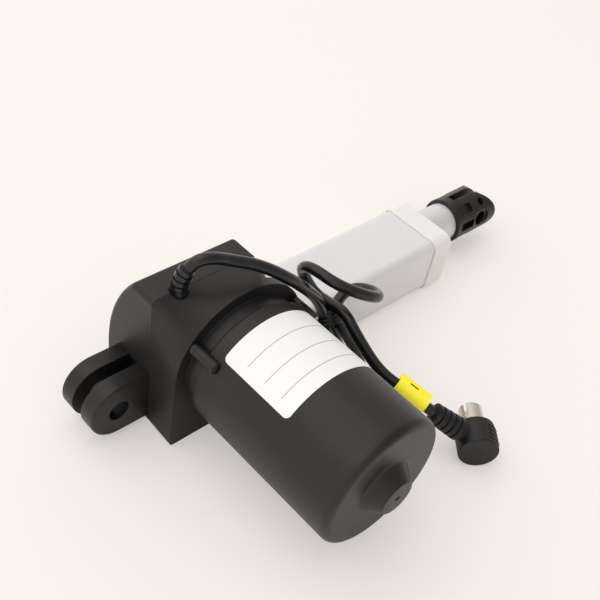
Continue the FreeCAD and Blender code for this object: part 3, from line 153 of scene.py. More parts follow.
# Stage: the surround's dim side, the camera with its turn in degrees, the floor and the lamp
DIM_SIDE = Vector((0.60, -0.66, 0.40)).normalized()
CAMERA_PLACE = (-0.1985, -0.2818, 0.3945)
CAMERA_TURN = (47.255, -8.697, -42.516)
SENSOR_WIDTH = 36.0
FLOOR_RADIUS = 6.0
LAMP_TARGET = Vector((0.12, -0.05, 0.02))
LAMP_PLACE = LAMP_TARGET + Vector((-0.35, 0.30, 1.2))
LAMP_SIZE = 1.5

# Sockets of a Mix node that mixes colours
MIX_FACTOR = 0
MIX_FIRST = 6
MIX_SECOND = 7
MIX_RESULT = 2

# Radians in a metre of a wave texture whose scale is 1
WAVE_RADIANS = 20.0

# Vertices nearer than this are merged
MERGE_DISTANCE = 1e-6

# Share of a ribbon's thickness by which its edges are rounded
RIBBON_ROUNDING = 0.42


class Signal:
    """A socket of a finish's node tree, which can be used in plain sums."""

    def __init__(self, tree, socket=None):
        self.tree = tree
        self.socket = socket

    def add(self, kind, settings=None, sockets=None, output=0):
        """Add a node of that type, with its settings first and then its sockets."""
        node = self.tree.nodes.new(kind)
        for name, value in (settings or {}).items():
            if name == "stops":
                fill_ramp(node.color_ramp, value)
            else:
                setattr(node, name, value)
        for name, value in (sockets or {}).items():
            if isinstance(value, Signal):
                self.tree.links.new(value.socket, node.inputs[name])
            else:
                node.inputs[name].default_value = value
        return Signal(self.tree, node.outputs[output] if node.outputs else None)

    def maths(self, operation, first, second):
        return self.add("ShaderNodeMath", {"operation": operation}, {0: first, 1: second})

    def __add__(self, other):
        return self.maths("ADD", self, other)

    def __radd__(self, other):
        return self.maths("ADD", other, self)

    def __sub__(self, other):
        return self.maths("SUBTRACT", self, other)

    def __rsub__(self, other):
        return self.maths("SUBTRACT", other, self)

    def __mul__(self, other):
        return self.maths("MULTIPLY", self, other)

    def __rmul__(self, other):
        return self.maths("MULTIPLY", other, self)

    def __gt__(self, other):
        return self.maths("GREATER_THAN", self, other)

    def __lt__(self, other):
        return self.maths("LESS_THAN", self, other)


def fill_ramp(ramp, stops):
    while len(ramp.elements) < len(stops):
        ramp.elements.new(0.5)
    for element, (place, shade) in zip(ramp.elements, stops):
        element.position = place
        element.color = (shade, shade, shade, 1.0)


def rgba(colour):
    return (colour[0], colour[1], colour[2], 1.0)


def scaled(colour, factor):
    return tuple(min(channel * factor, 1.0) for channel in colour)


# Shader patterns

def object_place(start):
    return start.add("ShaderNodeTexCoord", output="Object")


def stretched(place, scale):
    return place.add("ShaderNodeMapping", sockets={"Vector": place, "Scale": scale})


def noise(place, scale, detail):
    return place.add("ShaderNodeTexNoise", sockets={"Vector": place, "Scale": scale, "Detail": detail})


def ramped(value, low, high):
    """The value spread so that low becomes 0 and high becomes 1."""
    return value.add("ShaderNodeValToRGB", {"stops": ((low, 0.0), (high, 1.0))}, {"Fac": value})


def blended(factor, first, second):
    sockets = {MIX_FACTOR: factor}
    for index, colour in ((MIX_FIRST, first), (MIX_SECOND, second)):
        sockets[index] = colour if isinstance(colour, Signal) else rgba(colour)
    return factor.add("ShaderNodeMix", {"data_type": "RGBA"}, sockets, MIX_RESULT)


def dot(first, second):
    settings = {"operation": "DOT_PRODUCT"}
    return first.add("ShaderNodeVectorMath", settings, {0: first, 1: second}, "Value")


def soft_edges(start, radius):
    return start.add("ShaderNodeBevel", {"samples": 4}, {"Radius": radius})


def worn_and_highlit_edges(start, radius):
    """1 on convex and concave edges, 0 on plain faces."""
    rounded = soft_edges(start, radius)
    plain = start.add("ShaderNodeNewGeometry", output="Normal")
    return ramped(1.0 - dot(rounded, plain), low=0.01, high=0.12)


def bumped(height, strength, distance, normal=None):
    sockets = {"Height": height, "Strength": strength, "Distance": distance}
    if normal is not None:
        sockets["Normal"] = normal
    return height.add("ShaderNodeBump", None, sockets)


def blank_material(name):
    """A new material with no nodes, and a signal to add them from."""
    material = bpy.data.materials.new(name)
    material.use_nodes = True
    material.node_tree.nodes.clear()
    return material, Signal(material.node_tree)


def finish(name, fixed, varied):
    """A new material: fixed values are set on the shader, varied(start) gives linked ones."""
    material, start = blank_material(name)
    sockets = dict(fixed)
    sockets.update(varied(start))
    shader = start.add("ShaderNodeBsdfPrincipled", None, sockets)
    start.add("ShaderNodeOutputMaterial", None, {"Surface": shader})
    return material


# Finishes

def moulded_plastic(name, colour, roughness, grain=1400.0, depth=0.10, edge=0.0006):
    """Moulded plastic with a fine spark-eroded grain, faint handling marks and paler edges, partly wear
    and partly painted highlight.
    """
    def varied(start):
        place = object_place(start)
        cloud = noise(place, scale=38.0, detail=4.0)
        fine = noise(place, scale=grain, detail=2.0)
        rub = noise(stretched(place, (220.0, 220.0, 60.0)), scale=1.0, detail=3.0)
        body = blended(ramped(cloud, low=0.35, high=0.70), scaled(colour, 0.82), scaled(colour, 1.35))
        patches = ramped(noise(place, scale=160.0, detail=3.0), low=0.30, high=0.75)
        # Paler edges in the base colour: partly wear in random patches, partly a painted highlight where
        # edges catch the light
        wear_and_highlight = worn_and_highlit_edges(start, edge) * patches
        return {
            "Base Color": blended(wear_and_highlight * 0.55, body, scaled(colour, 4.0)),
            "Roughness": roughness - 0.05 + cloud * 0.10 + ramped(rub, low=0.62, high=0.78) * 0.06,
            "Normal": bumped(fine, strength=depth, distance=0.0003, normal=soft_edges(start, edge)),
        }
    return finish(name, {"Specular IOR Level": 0.44}, varied)


def drawn_metal(name, colour, roughness, streak=(6.0, 1500.0, 1500.0), metal=1.0, edge=0.0005):
    """Drawn and anodised metal with fine streaks along its length."""
    def varied(start):
        place = object_place(start)
        lines = noise(stretched(place, streak), scale=1.0, detail=3.0)
        cloud = noise(place, scale=24.0, detail=3.0)
        body = blended(cloud, scaled(colour, 0.95), scaled(colour, 1.04))
        scratch = noise(stretched(place, (40.0, 420.0, 420.0)), scale=1.0, detail=2.0)
        marks = ramped(scratch, low=0.70, high=0.78)
        return {
            "Base Color": blended(marks * 0.25, body, scaled(colour, 0.80)),
            "Roughness": roughness - 0.04 + lines * 0.08 + cloud * 0.04,
            "Normal": bumped(lines, strength=0.06, distance=0.0001, normal=soft_edges(start, edge)),
        }
    return finish(name, {"Metallic": metal}, varied)


def turned_metal(name, colour, roughness, tool_scale=2600.0, depth=0.08, edge=0.0003):
    """Machined metal with faint tool marks and uneven polish."""
    def varied(start):
        place = object_place(start)
        tool = noise(place, scale=tool_scale, detail=1.0)
        cloud = noise(place, scale=120.0, detail=3.0)
        return {
            "Base Color": blended(cloud, scaled(colour, 0.86), scaled(colour, 1.08)),
            "Roughness": roughness - 0.05 + tool * 0.06 + cloud * 0.08,
            "Normal": bumped(tool, strength=depth, distance=0.0001, normal=soft_edges(start, edge)),
        }
    return finish(name, {"Metallic": 1.0}, varied)


def banded_metal(name, colour, roughness, pitch, axis, depth, edge=0.0002):
    """Metal with regular bands across one axis: threads, stacked sheets or wound wire, with painted
    shade in the grooves between them.
    """
    def varied(start):
        place = object_place(start)
        settings = {"bands_direction": axis, "wave_profile": "SIN"}
        scale = 2.0 * math.pi / (WAVE_RADIANS * pitch)
        sockets = {"Vector": place, "Scale": scale, "Distortion": 0.0}
        bands = start.add("ShaderNodeTexWave", settings, sockets)
        cloud = noise(place, scale=90.0, detail=3.0)
        groove = pitch * 0.25
        return {
            # Base colour darkens where the bands sink: painted shade in the grooves
            "Base Color": blended(bands, scaled(colour, 0.55), scaled(colour, 1.05)),
            "Roughness": roughness + cloud * 0.10 - bands * 0.05,
            "Normal": bumped(bands, strength=depth, distance=groove, normal=soft_edges(start, edge)),
        }
    return finish(name, {"Metallic": 1.0}, varied)


def milky_plastic(name, colour, roughness=0.38, glow=0.25, edge=0.0006):
    """Slightly translucent natural nylon."""
    def varied(start):
        place = object_place(start)
        cloud = noise(place, scale=46.0, detail=4.0)
        fine = noise(place, scale=1200.0, detail=2.0)
        return {
            "Base Color": blended(cloud, scaled(colour, 0.965), scaled(colour, 1.02)),
            "Roughness": roughness + cloud * 0.08,
            "Normal": bumped(fine, strength=0.05, distance=0.0002, normal=soft_edges(start, edge)),
        }
    fixed = {
        "Subsurface Weight": glow,
        "Subsurface Radius": (0.9, 0.85, 0.7),
        "Subsurface Scale": 0.002,
    }
    return finish(name, fixed, varied)


def plain_plastic(name, colour, roughness, fleck=900.0, edge=0.0003):
    """Engineering plastic, card or rubber with an even, slightly flecked body."""
    def varied(start):
        place = object_place(start)
        cloud = noise(place, scale=70.0, detail=3.0)
        fine = noise(place, scale=fleck, detail=2.0)
        flecks = ramped(fine, low=0.40, high=0.75)
        return {
            "Base Color": blended(flecks, scaled(colour, 0.90), scaled(colour, 1.10)),
            "Roughness": roughness - 0.04 + cloud * 0.10,
            "Normal": bumped(fine, strength=0.06, distance=0.0002, normal=soft_edges(start, edge)),
        }
    return finish(name, {}, varied)


def ruled_label(name, colour, ink, line_shares=(0.28, 0.55, 0.80), half_line=0.00028, margin=0.004):
    """Blank film label: white satin film with thin ruled lines round the motor."""
    low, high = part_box("motor_label")

    def varied(start):
        place = object_place(start)
        along = start.add("ShaderNodeSeparateXYZ", None, {"Vector": place}, "Y")
        across = start.add("ShaderNodeSeparateXYZ", None, {"Vector": place}, "X")
        inside = (across > low.x + margin) * (across < high.x - margin)
        rules = None
        for share in line_shares:
            middle = high.y - (high.y - low.y) * share
            rule = (along > middle - half_line) * (along < middle + half_line)
            rules = rule if rules is None else rules + rule
        cloud = noise(place, scale=60.0, detail=3.0)
        fibre = noise(place, scale=1800.0, detail=2.0)
        film = blended(cloud, scaled(colour, 0.97), scaled(colour, 1.02))
        return {
            "Base Color": blended(rules * inside * 0.7, film, ink),
            "Roughness": 0.36 + cloud * 0.08,
            "Normal": bumped(fibre, strength=0.03, distance=0.0001),
        }
    return finish(name, {}, varied)


def cable_jacket(name, colour, roughness):
    """Extruded jacket, faintly wavy along its length, with dusty scuffs."""
    def varied(start):
        place = object_place(start)
        wave = noise(place, scale=260.0, detail=2.0)
        fine = noise(place, scale=1500.0, detail=2.0)
        scuff = ramped(noise(place, scale=90.0, detail=4.0), low=0.52, high=0.75)
        return {
            "Base Color": blended(scuff * 0.5, colour, scaled(colour, 2.2)),
            "Roughness": roughness + scuff * 0.12 + fine * 0.04,
            "Normal": bumped(wave * 0.8 + fine * 0.2, strength=0.06, distance=0.0004),
        }
    fixed = {"Specular IOR Level": 0.25, "Coat Weight": 0.55, "Coat Roughness": 0.14}
    return finish(name, fixed, varied)


def folded_vinyl(name, colour):
    """Fluorescent marker tape, a little creased, with a faint painted glow standing in for its
    fluorescence.
    """
    def varied(start):
        place = object_place(start)
        crease = noise(place, scale=190.0, detail=3.0)
        cloud = noise(place, scale=60.0, detail=3.0)
        return {
            "Base Color": blended(cloud, scaled(colour, 0.93), scaled(colour, 1.05)),
            "Roughness": 0.40 + cloud * 0.10,
            "Normal": bumped(crease, strength=0.12, distance=0.0004),
        }
    fixed = {"Emission Color": rgba(colour), "Emission Strength": FLAG_PAINTED_GLOW}
    return finish(name, fixed, varied)


def slot_finishes(looks):
    """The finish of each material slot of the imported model."""
    black = tuple(looks.housing_black)
    cover = tuple(looks.cover_black)
    steel = tuple(looks.steel)
    brass = tuple(looks.brass)
    cable = tuple(looks.cable_black)
    nylon = tuple(looks.cap_white)
    return {
        "housing_plastic": moulded_plastic("housing_moulding", black, roughness=0.46),
        "cover_plastic": moulded_plastic("motor_cover_moulding", cover, roughness=0.40, grain=1700.0,
                                         depth=0.07),
        "clevis_paint": moulded_plastic("clevis_coating", scaled(black, 0.9), roughness=0.38,
                                        grain=900.0, depth=0.12, edge=0.0008),
        "fork_plastic": moulded_plastic("fork_moulding", scaled(black, 0.8), roughness=0.36,
                                        grain=1200.0, depth=0.08, edge=0.0005),
        "switch_plastic": moulded_plastic("switch_moulding", black, roughness=0.5),
        "plug_black": moulded_plastic("plug_moulding", cable, roughness=0.44, grain=1500.0,
                                      depth=0.06, edge=0.0004),
        "tube_aluminium": drawn_metal("anodised_tube", tuple(looks.aluminium), roughness=0.58,
                                      metal=0.4),
        "rod_grey": drawn_metal("anodised_rod", tuple(looks.rod_grey), roughness=0.48, metal=0.5),
        "can_paint": drawn_metal("plated_can", scaled(steel, 0.8), roughness=0.42,
                                 streak=(1500.0, 6.0, 1500.0)),
        "plug_metal": drawn_metal("nickel_shell", tuple(looks.nickel), roughness=0.24,
                                  streak=(900.0, 900.0, 900.0)),
        "cap_white": milky_plastic("cap_nylon", nylon),
        "nut_plastic": milky_plastic("nut_acetal", scaled(nylon, 0.95)),
        "guide_plastic": milky_plastic("guide_acetal", scaled(nylon, 0.98)),
        "insert_plastic": milky_plastic("plug_insert_nylon", scaled(nylon, 0.9)),
        "label_white": ruled_label("blank_label", tuple(looks.label_white), ink=(0.30, 0.30, 0.31)),
        "screw_steel": turned_metal("zinc_screws", steel, roughness=0.30),
        "shaft_steel": turned_metal("ground_shaft", steel, roughness=0.18),
        "bearing_steel": turned_metal("bearing_rings", scaled(steel, 1.05), roughness=0.16),
        "plate_alloy": turned_metal("cast_plate", scaled(steel, 0.9), roughness=0.5,
                                    tool_scale=700.0, depth=0.2),
        "bush_brass": turned_metal("sintered_bush", scaled(brass, 0.8), roughness=0.45,
                                   tool_scale=3000.0, depth=0.2),
        "wheel_brass": turned_metal("worm_wheel_brass", brass, roughness=0.26),
        "pin_metal": turned_metal("plated_pins", scaled(brass, 1.1), roughness=0.2),
        "screw_shaft": banded_metal("screw_thread", scaled(steel, 0.9), roughness=0.24, pitch=0.004,
                                    axis="X", depth=0.9),
        "core_iron": banded_metal("stacked_core", scaled(steel, 0.6), roughness=0.45, pitch=0.001,
                                  axis="Y", depth=0.5),
        "copper": banded_metal("wound_copper", tuple(looks.copper), roughness=0.30, pitch=0.0009,
                               axis="DIAGONAL", depth=0.8),
        "magnet_iron": plain_plastic("ferrite", (0.035, 0.034, 0.036), roughness=0.6),
        "card_plastic": plain_plastic("brush_card", (0.16, 0.075, 0.035), roughness=0.55),
        "brush_carbon": plain_plastic("brush_carbon", (0.022, 0.022, 0.023), roughness=0.5),
        "strip_green": plain_plastic("switch_strip", (0.025, 0.16, 0.06), roughness=0.35),
        "seal_rubber": plain_plastic("seal_rubber", (0.018, 0.018, 0.018), roughness=0.62),
        "cord_black": cable_jacket("cable_jacket", cable, roughness=0.30),
        "tie_black": cable_jacket("tie_jacket", scaled(cable, 0.8), roughness=0.45),
        "flag_yellow": folded_vinyl("marker_vinyl", tuple(looks.flag_yellow)),
    }


def colour_property(name, description, default):
    return FloatVectorProperty(name=name, description=description, default=default,
                               subtype="COLOR", size=3, min=0.0, max=1.0)


def length_property(name, description, default):
    return FloatProperty(name=name, description=description, default=default,
                         unit="LENGTH", min=0.0, precision=5)


class ActuatorLooks(bpy.types.PropertyGroup):
    """Colours of the finishes."""
    housing_black: colour_property("Housing", "Black of the gearbox housing", (0.0110, 0.0102, 0.0096))
    cover_black: colour_property("Motor cover", "Black of the motor cover", (0.0105, 0.0098, 0.0093))
    aluminium: colour_property("Tube", "Anodised outer tube", (0.83, 0.82, 0.82))
    rod_grey: colour_property("Rod", "Anodised inner tube", (0.76, 0.76, 0.76))
    cap_white: colour_property("Cap", "Natural nylon of the front cap", (0.90, 0.87, 0.81))
    label_white: colour_property("Label", "Blank film label", (0.93, 0.92, 0.91))
    cable_black: colour_property("Cable", "Black of the cable and plug", (0.0062, 0.0060, 0.0062))
    flag_yellow: colour_property("Flag", "Yellow of the marker flag", (1.00, 0.86, 0.030))
    nickel: colour_property("Plug shell", "Nickel plated shell", (0.66, 0.61, 0.54))
    steel: colour_property("Steel", "Plated and ground steel", (0.56, 0.56, 0.57))
    brass: colour_property("Brass", "Worm wheel and bushes", (0.72, 0.53, 0.24))
    copper: colour_property("Copper", "Motor windings", (0.70, 0.31, 0.16))


class ActuatorCover(bpy.types.PropertyGroup):
    """Sizes of the motor cover's end."""
    rim: length_property("Rim", "Radius of the moulded rim", 0.0045)
    boss_flare: FloatProperty(name="Boss flare", description="How fast the boss draws in above its foot",
                              default=1.2, min=1.0, max=5.0)
    dimple: length_property("Dimple", "Radius of the moulded dimple", 0.0015)


class ActuatorCord(bpy.types.PropertyGroup):
    """Sizes of the cord and of what is on it."""
    diameter: length_property("Diameter", "Outside of the cable", 0.0065)
    length: length_property("Length", "Strain relief to plug", 0.463)
    tie_radius: length_property("Tie radius", "Middle of the tie's turns, the long way", 0.0081)
    tie_width: length_property("Tie width", "Width of the tie's ribbon", 0.0023)
    tie_turns: IntProperty(name="Tie turns", description="Times the tie goes round",
                           default=4, min=1, max=6)
    flag_length: length_property("Flag length", "Flag along the cable", 0.0205)
    flag_reach: length_property("Flag reach", "Flag beyond the cable", 0.0046)
    number_height: length_property("Number height", "Plain number on the flag", 0.0056)
    rib_width: length_property("Grip width", "Width of a grip rib", 0.0015)
    rib_proud: length_property("Grip height", "Height of a grip rib above the plug", 0.0005)
    rib_pitch: length_property("Grip pitch", "From one grip rib to the next", 0.0030)
    rib_count: IntProperty(name="Grip ribs", description="Grip ribs on the plug",
                           default=4, min=1, max=8)


class ActuatorStage(bpy.types.PropertyGroup):
    """Camera, light and floor."""
    lens: FloatProperty(name="Lens", description="Focal length for a 36 mm sensor", default=58.26,
                        unit="CAMERA", min=1.0)
    floor_colour: colour_property("Floor", "Pale studio floor", (0.980, 0.930, 0.888))
    floor_glow: FloatProperty(name="Floor glow", description="Share of plain white in the floor as seen",
                              default=0.40, min=0.0, max=1.0)
    light_level: FloatProperty(name="Surround", description="Light from all round",
                               default=1.02, min=0.0)
    dim: FloatProperty(name="Dim side", description="Darkness of the surround in front", default=0.55,
                       min=0.0, max=1.0)
    top_power: FloatProperty(name="Top lamp", description="Softbox overhead", default=4.0,
                             unit="POWER", min=0.0)


# Modelling helpers

def clear_selection():
    if bpy.context.mode != "OBJECT":
        bpy.ops.object.mode_set(mode="OBJECT")
    bpy.ops.object.select_all(action="DESELECT")


def take(piece):
    """Make a piece the only one selected, and the active one."""
    clear_selection()
    bpy.context.view_layer.objects.active = piece
    piece.select_set(True)


def edit(piece, kind="VERT"):
    """Enter edit mode on one piece, with nothing selected."""
    take(piece)
    bpy.ops.object.mode_set(mode="EDIT")
    bpy.ops.mesh.select_mode(type=kind)
    bpy.ops.mesh.select_all(action="DESELECT")


def select(piece, elements, test):
    """Select the vertices, edges or faces that pass a test, from object mode and back."""
    bpy.ops.object.mode_set(mode="OBJECT")
    for element in getattr(piece.data, elements):
        element.select = bool(test(element))
    bpy.ops.object.mode_set(mode="EDIT")


def add_modifier(piece, kind, **settings):
    """Add a modifier with its settings and apply it."""
    bpy.ops.object.mode_set(mode="OBJECT")
    bpy.context.view_layer.objects.active = piece
    modifier = piece.modifiers.new(kind.title(), kind)
    for name, value in settings.items():
        setattr(modifier, name, value)
    bpy.ops.object.modifier_apply(modifier=modifier.name)


def place_piece(piece, matrix):
    """Turn and move a finished piece into the frame, and leave its object at the origin."""
    take(piece)
    piece.matrix_world = matrix
    bpy.ops.object.transform_apply(location=True, rotation=True, scale=True)


def merge_vertices(piece):
    """Merge vertices that coincide. The piece stays in edit mode, all selected."""
    edit(piece)
    bpy.ops.mesh.select_all(action="SELECT")
    bpy.ops.mesh.remove_doubles(threshold=MERGE_DISTANCE)


def tidy_mesh(piece):
    """Merge vertices that coincide and turn the faces outwards."""
    merge_vertices(piece)
    bpy.ops.mesh.normals_make_consistent(inside=False)
    bpy.ops.object.mode_set(mode="OBJECT")


def smooth(piece, degrees=35.0):
    take(piece)
    bpy.ops.object.shade_smooth_by_angle(angle=math.radians(degrees))


def axes_matrix(place, along, up):
    """A frame at a place with Z along a direction and X near another."""
    z = along.normalized()
    x = (up - z * up.dot(z)).normalized()
    y = z.cross(x)
    turn = Matrix((x, y, z)).transposed().to_4x4()
    return Matrix.Translation(place) @ turn


def swept_ribbon(name, width, thick, radius, degrees, turns=1, pitch=0.0, steps=56):
    """A ribbon with rounded edges, wound round Z at a radius, with closed ends."""
    clear_selection()
    bpy.ops.mesh.primitive_plane_add(size=1.0)
    ribbon = bpy.context.object
    ribbon.name = name
    ribbon.data.transform(Matrix.Diagonal((thick, width, 1.0, 1.0)))
    ribbon.data.transform(Matrix.Rotation(math.radians(90), 4, "X"))
    ribbon.data.transform(Matrix.Translation((radius, 0, 0)))
    edit(ribbon)
    bpy.ops.mesh.select_all(action="SELECT")
    bpy.ops.mesh.bevel(offset=thick * RIBBON_ROUNDING, segments=3, affect="VERTICES")
    bpy.ops.mesh.delete(type="ONLY_FACE")
    add_modifier(ribbon, "SCREW", angle=math.radians(degrees), iterations=turns, screw_offset=pitch,
                 steps=steps, render_steps=steps, axis="Z", use_merge_vertices=False)
    tidy_mesh(ribbon)
    edit(ribbon, "EDGE")
    bpy.ops.mesh.select_non_manifold()
    bpy.ops.mesh.edge_face_add()
    tidy_mesh(ribbon)
    return ribbon


class ACTUATOR_OT_dress_nodes(bpy.types.Operator):
    """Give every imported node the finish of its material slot"""
    bl_idname = "actuator.dress_nodes"
    bl_label = "Dress Nodes"

    def execute(self, context):
        finishes = slot_finishes(context.scene.actuator_looks)
        for name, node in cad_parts.items():
            for slot in node.material_slots:
                key = slot.material.name.split(".")[0]
                if key not in finishes:
                    raise RuntimeError("no finish for slot " + key + " of " + name)
                slot.material = finishes[key]
        return {"FINISHED"}


def rim_profile(share, outer, end, rim):
    """Radius and depth along a rim: a straight stretch, a quarter round and a straight stretch."""
    spare = PACKED_RIM - rim
    if share < RIM_STRAIGHT:
        return outer, end + PACKED_RIM - spare * share / RIM_STRAIGHT
    if share > 1.0 - RIM_STRAIGHT:
        return outer - rim - spare * (share - 1.0 + RIM_STRAIGHT) / RIM_STRAIGHT, end
    angle = (share - RIM_STRAIGHT) / (1.0 - 2.0 * RIM_STRAIGHT) * math.pi / 2
    return outer - rim + rim * math.cos(angle), end + rim - rim * math.sin(angle)


class ACTUATOR_OT_tighten_cover(bpy.types.Operator):
    """Copy the motor cover, tighten its rim, flare its boss and shrink the boss's dimple"""
    bl_idname = "actuator.tighten_cover"
    bl_label = "Tighten Cover"

    def execute(self, context):
        sizes = context.scene.actuator_cover
        low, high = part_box("motor_cover")
        ring_low, ring_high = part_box("motor_gasket")
        axis = (ring_low + ring_high) / 2
        axis.y = 0.0
        outer = (high.x - low.x) / 2
        end = low.y + BOSS_HEIGHT
        cover = bpy.data.objects.new("motor_cover_shell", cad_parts["motor_cover"].data.copy())
        context.scene.collection.objects.link(cover)
        take(cover)
        bpy.ops.mesh.customdata_custom_splitnormals_clear()
        merge_vertices(cover)
        bpy.ops.object.mode_set(mode="OBJECT")
        for vertex in cover.data.vertices:
            self.draw_in(vertex, axis, outer, end, sizes)
        smooth(cover)
        cover.data.materials.clear()
        cover.data.materials.append(bpy.data.materials["motor_cover_moulding"])
        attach(cover, "base")
        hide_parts("motor_cover")
        return {"FINISHED"}

    def draw_in(self, vertex, axis, outer, end, sizes):
        """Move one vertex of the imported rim, boss or dimple to its place on the moulded one."""
        away = Vector((vertex.co.x - axis.x, 0, vertex.co.z - axis.z))
        radius = away.length
        depth = vertex.co.y
        across = radius - (outer - PACKED_RIM)
        down = end + PACKED_RIM - depth
        height = (end - depth) / BOSS_HEIGHT
        taper = BOSS_FOOT - BOSS_TIP
        cone = BOSS_FOOT - taper * height
        if min(across, down) > -COVER_NEAR and math.hypot(across, down) > PACKED_RIM - COVER_NEAR * 2:
            share = min(max(math.atan2(down, across) / (math.pi / 2), 0.0), 1.0)
            new_radius, depth = rim_profile(share, outer, end, sizes.rim)
        elif 0.0 < radius < PACKED_DIMPLE + COVER_NEAR and depth < end - BOSS_HEIGHT / 2:
            new_radius = radius * sizes.dimple / PACKED_DIMPLE
        elif height > 0.0 and radius > cone - BOSS_SKIN:
            new_radius = radius - cone + BOSS_TIP + taper * max(1.0 - height, 0.0) ** sizes.boss_flare
        else:
            return
        vertex.co = axis + away * (new_radius / radius) + Vector((0, depth, 0))


class ACTUATOR_OT_lay_cord(bpy.types.Operator):
    """Lay the cable from the strain relief through its tied hank to the plug"""
    bl_idname = "actuator.lay_cord"
    bl_label = "Lay Cord"

    def execute(self, context):
        sizes = context.scene.actuator_cord
        clear_selection()
        curve = bpy.data.curves.new("cord", "CURVE")
        curve.dimensions = "3D"
        spline = curve.splines.new("NURBS")
        route = LEAD_ROUTE + LOWER_LOOP + UPPER_LOOP + TAIL_ROUTE
        spline.points.add(len(route) - 1)
        for point, place in zip(spline.points, route):
            point.co = (*place, 1.0)
        spline.order_u = 3
        spline.use_endpoint_u = True
        spline.resolution_u = 12
        curve.bevel_depth = sizes.diameter / 2
        curve.bevel_resolution = 6
        curve.use_fill_caps = True
        cord = bpy.data.objects.new("cord", curve)
        context.scene.collection.objects.link(cord)
        cord.data.materials.append(bpy.data.materials["cable_jacket"])
        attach(cord, "base")
        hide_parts("cord_lead", "cord_hank", "cord_tail")
        return {"FINISHED"}


class ACTUATOR_OT_wrap_tie(bpy.types.Operator):
    """Wrap a flat tie round the waist of the hank"""
    bl_idname = "actuator.wrap_tie"
    bl_label = "Wrap Tie"

    def execute(self, context):
        sizes = context.scene.actuator_cord
        pitch = sizes.tie_width * TIE_PITCH
        tie = swept_ribbon("cord_tie_wraps", sizes.tie_width, TIE_THICK, sizes.tie_radius, 360.0,
                           sizes.tie_turns, pitch)
        lift = -pitch * sizes.tie_turns / 2
        tie.data.transform(Matrix.Translation((0, 0, lift)))
        tie.data.transform(Matrix.Diagonal((1.0, TIE_FLATNESS, 1.0, 1.0)))
        place_piece(tie, axes_matrix(TIE_PLACE, TIE_AXIS, TIE_WIDE))
        smooth(tie)
        tie.data.materials.append(bpy.data.materials["tie_jacket"])
        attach(tie, "base")
        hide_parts("cord_tie")
        return {"FINISHED"}


def flag_radius(sizes):
    """The flag's inside, round the cable."""
    return sizes.diameter / 2 + FLAG_PLAY


def flag_matrix():
    """A frame at the flag's middle with Z along the cable and X the way that the flaps reach."""
    along = FLAG_END - FLAG_START
    out = along.cross(Vector((0, 0, 1))) * -1.0
    return axes_matrix((FLAG_START + FLAG_END) / 2, along, out)


class ACTUATOR_OT_fold_flag(bpy.types.Operator):
    """Fold a marker flag round the cable near the plug"""
    bl_idname = "actuator.fold_flag"
    bl_label = "Fold Flag"

    def execute(self, context):
        sizes = context.scene.actuator_cord
        inner = flag_radius(sizes)
        clear_selection()
        bpy.ops.mesh.primitive_cylinder_add(vertices=40, radius=inner, depth=sizes.flag_length,
                                            end_fill_type="NOTHING")
        flag = context.object
        flag.name = "marker_flag"
        edit(flag, "FACE")
        select(flag, "polygons", lambda face: face.center.x > inner * FLAG_CUT)
        bpy.ops.mesh.delete(type="FACE")
        edit(flag, "EDGE")
        select(flag, "edges", lambda edge: self.on_lip(flag, edge, inner))
        bpy.ops.mesh.extrude_region_move(TRANSFORM_OT_translate={"value": (sizes.flag_reach, 0, 0)})
        bpy.ops.transform.resize(value=(1.0, FLAG_PARTING, 1.0), center_override=(0, 0, 0))
        bpy.ops.transform.translate(value=(0, inner * FLAG_RISE, 0))
        add_modifier(flag, "SOLIDIFY", thickness=FLAG_FILM, offset=1.0)
        tidy_mesh(flag)
        place_piece(flag, flag_matrix())
        smooth(flag)
        flag.data.materials.append(bpy.data.materials["marker_vinyl"])
        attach(flag, "base")
        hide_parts("cord_flag")
        return {"FINISHED"}

    def on_lip(self, flag, edge, inner):
        """Whether an edge is one of the two along the cut."""
        first, last = (flag.data.vertices[index].co for index in edge.vertices)
        middle = (first + last) / 2
        return middle.x > inner * FLAG_LIPS and abs(middle.z) < LIP_NEAR


class ACTUATOR_OT_number_flag(bpy.types.Operator):
    """Put a plain number on the flag's upper flap"""
    bl_idname = "actuator.number_flag"
    bl_label = "Number Flag"

    def execute(self, context):
        sizes = context.scene.actuator_cord
        inner = flag_radius(sizes)
        clear_selection()
        bpy.ops.object.text_add()
        number = context.object
        number.name = "flag_number"
        number.data.body = "1"
        number.data.size = sizes.number_height * NUMBER_SIZE
        number.data.align_x = "CENTER"
        number.data.align_y = "CENTER"
        number.data.extrude = NUMBER_HALF
        bpy.ops.object.convert(target="MESH")
        number = context.object
        tidy_mesh(number)
        across = inner + sizes.flag_reach * NUMBER_ACROSS
        spot = Vector((across, inner * FLAG_RISE + NUMBER_RISE, NUMBER_SHIFT))
        lying = Matrix(((1, 0, 0), (0, 0, 1), (0, -1, 0))).to_4x4()
        place_piece(number, flag_matrix() @ Matrix.Translation(spot) @ lying)
        number.data.materials.append(bpy.data.materials["cable_jacket"])
        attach(number, "base")
        return {"FINISHED"}


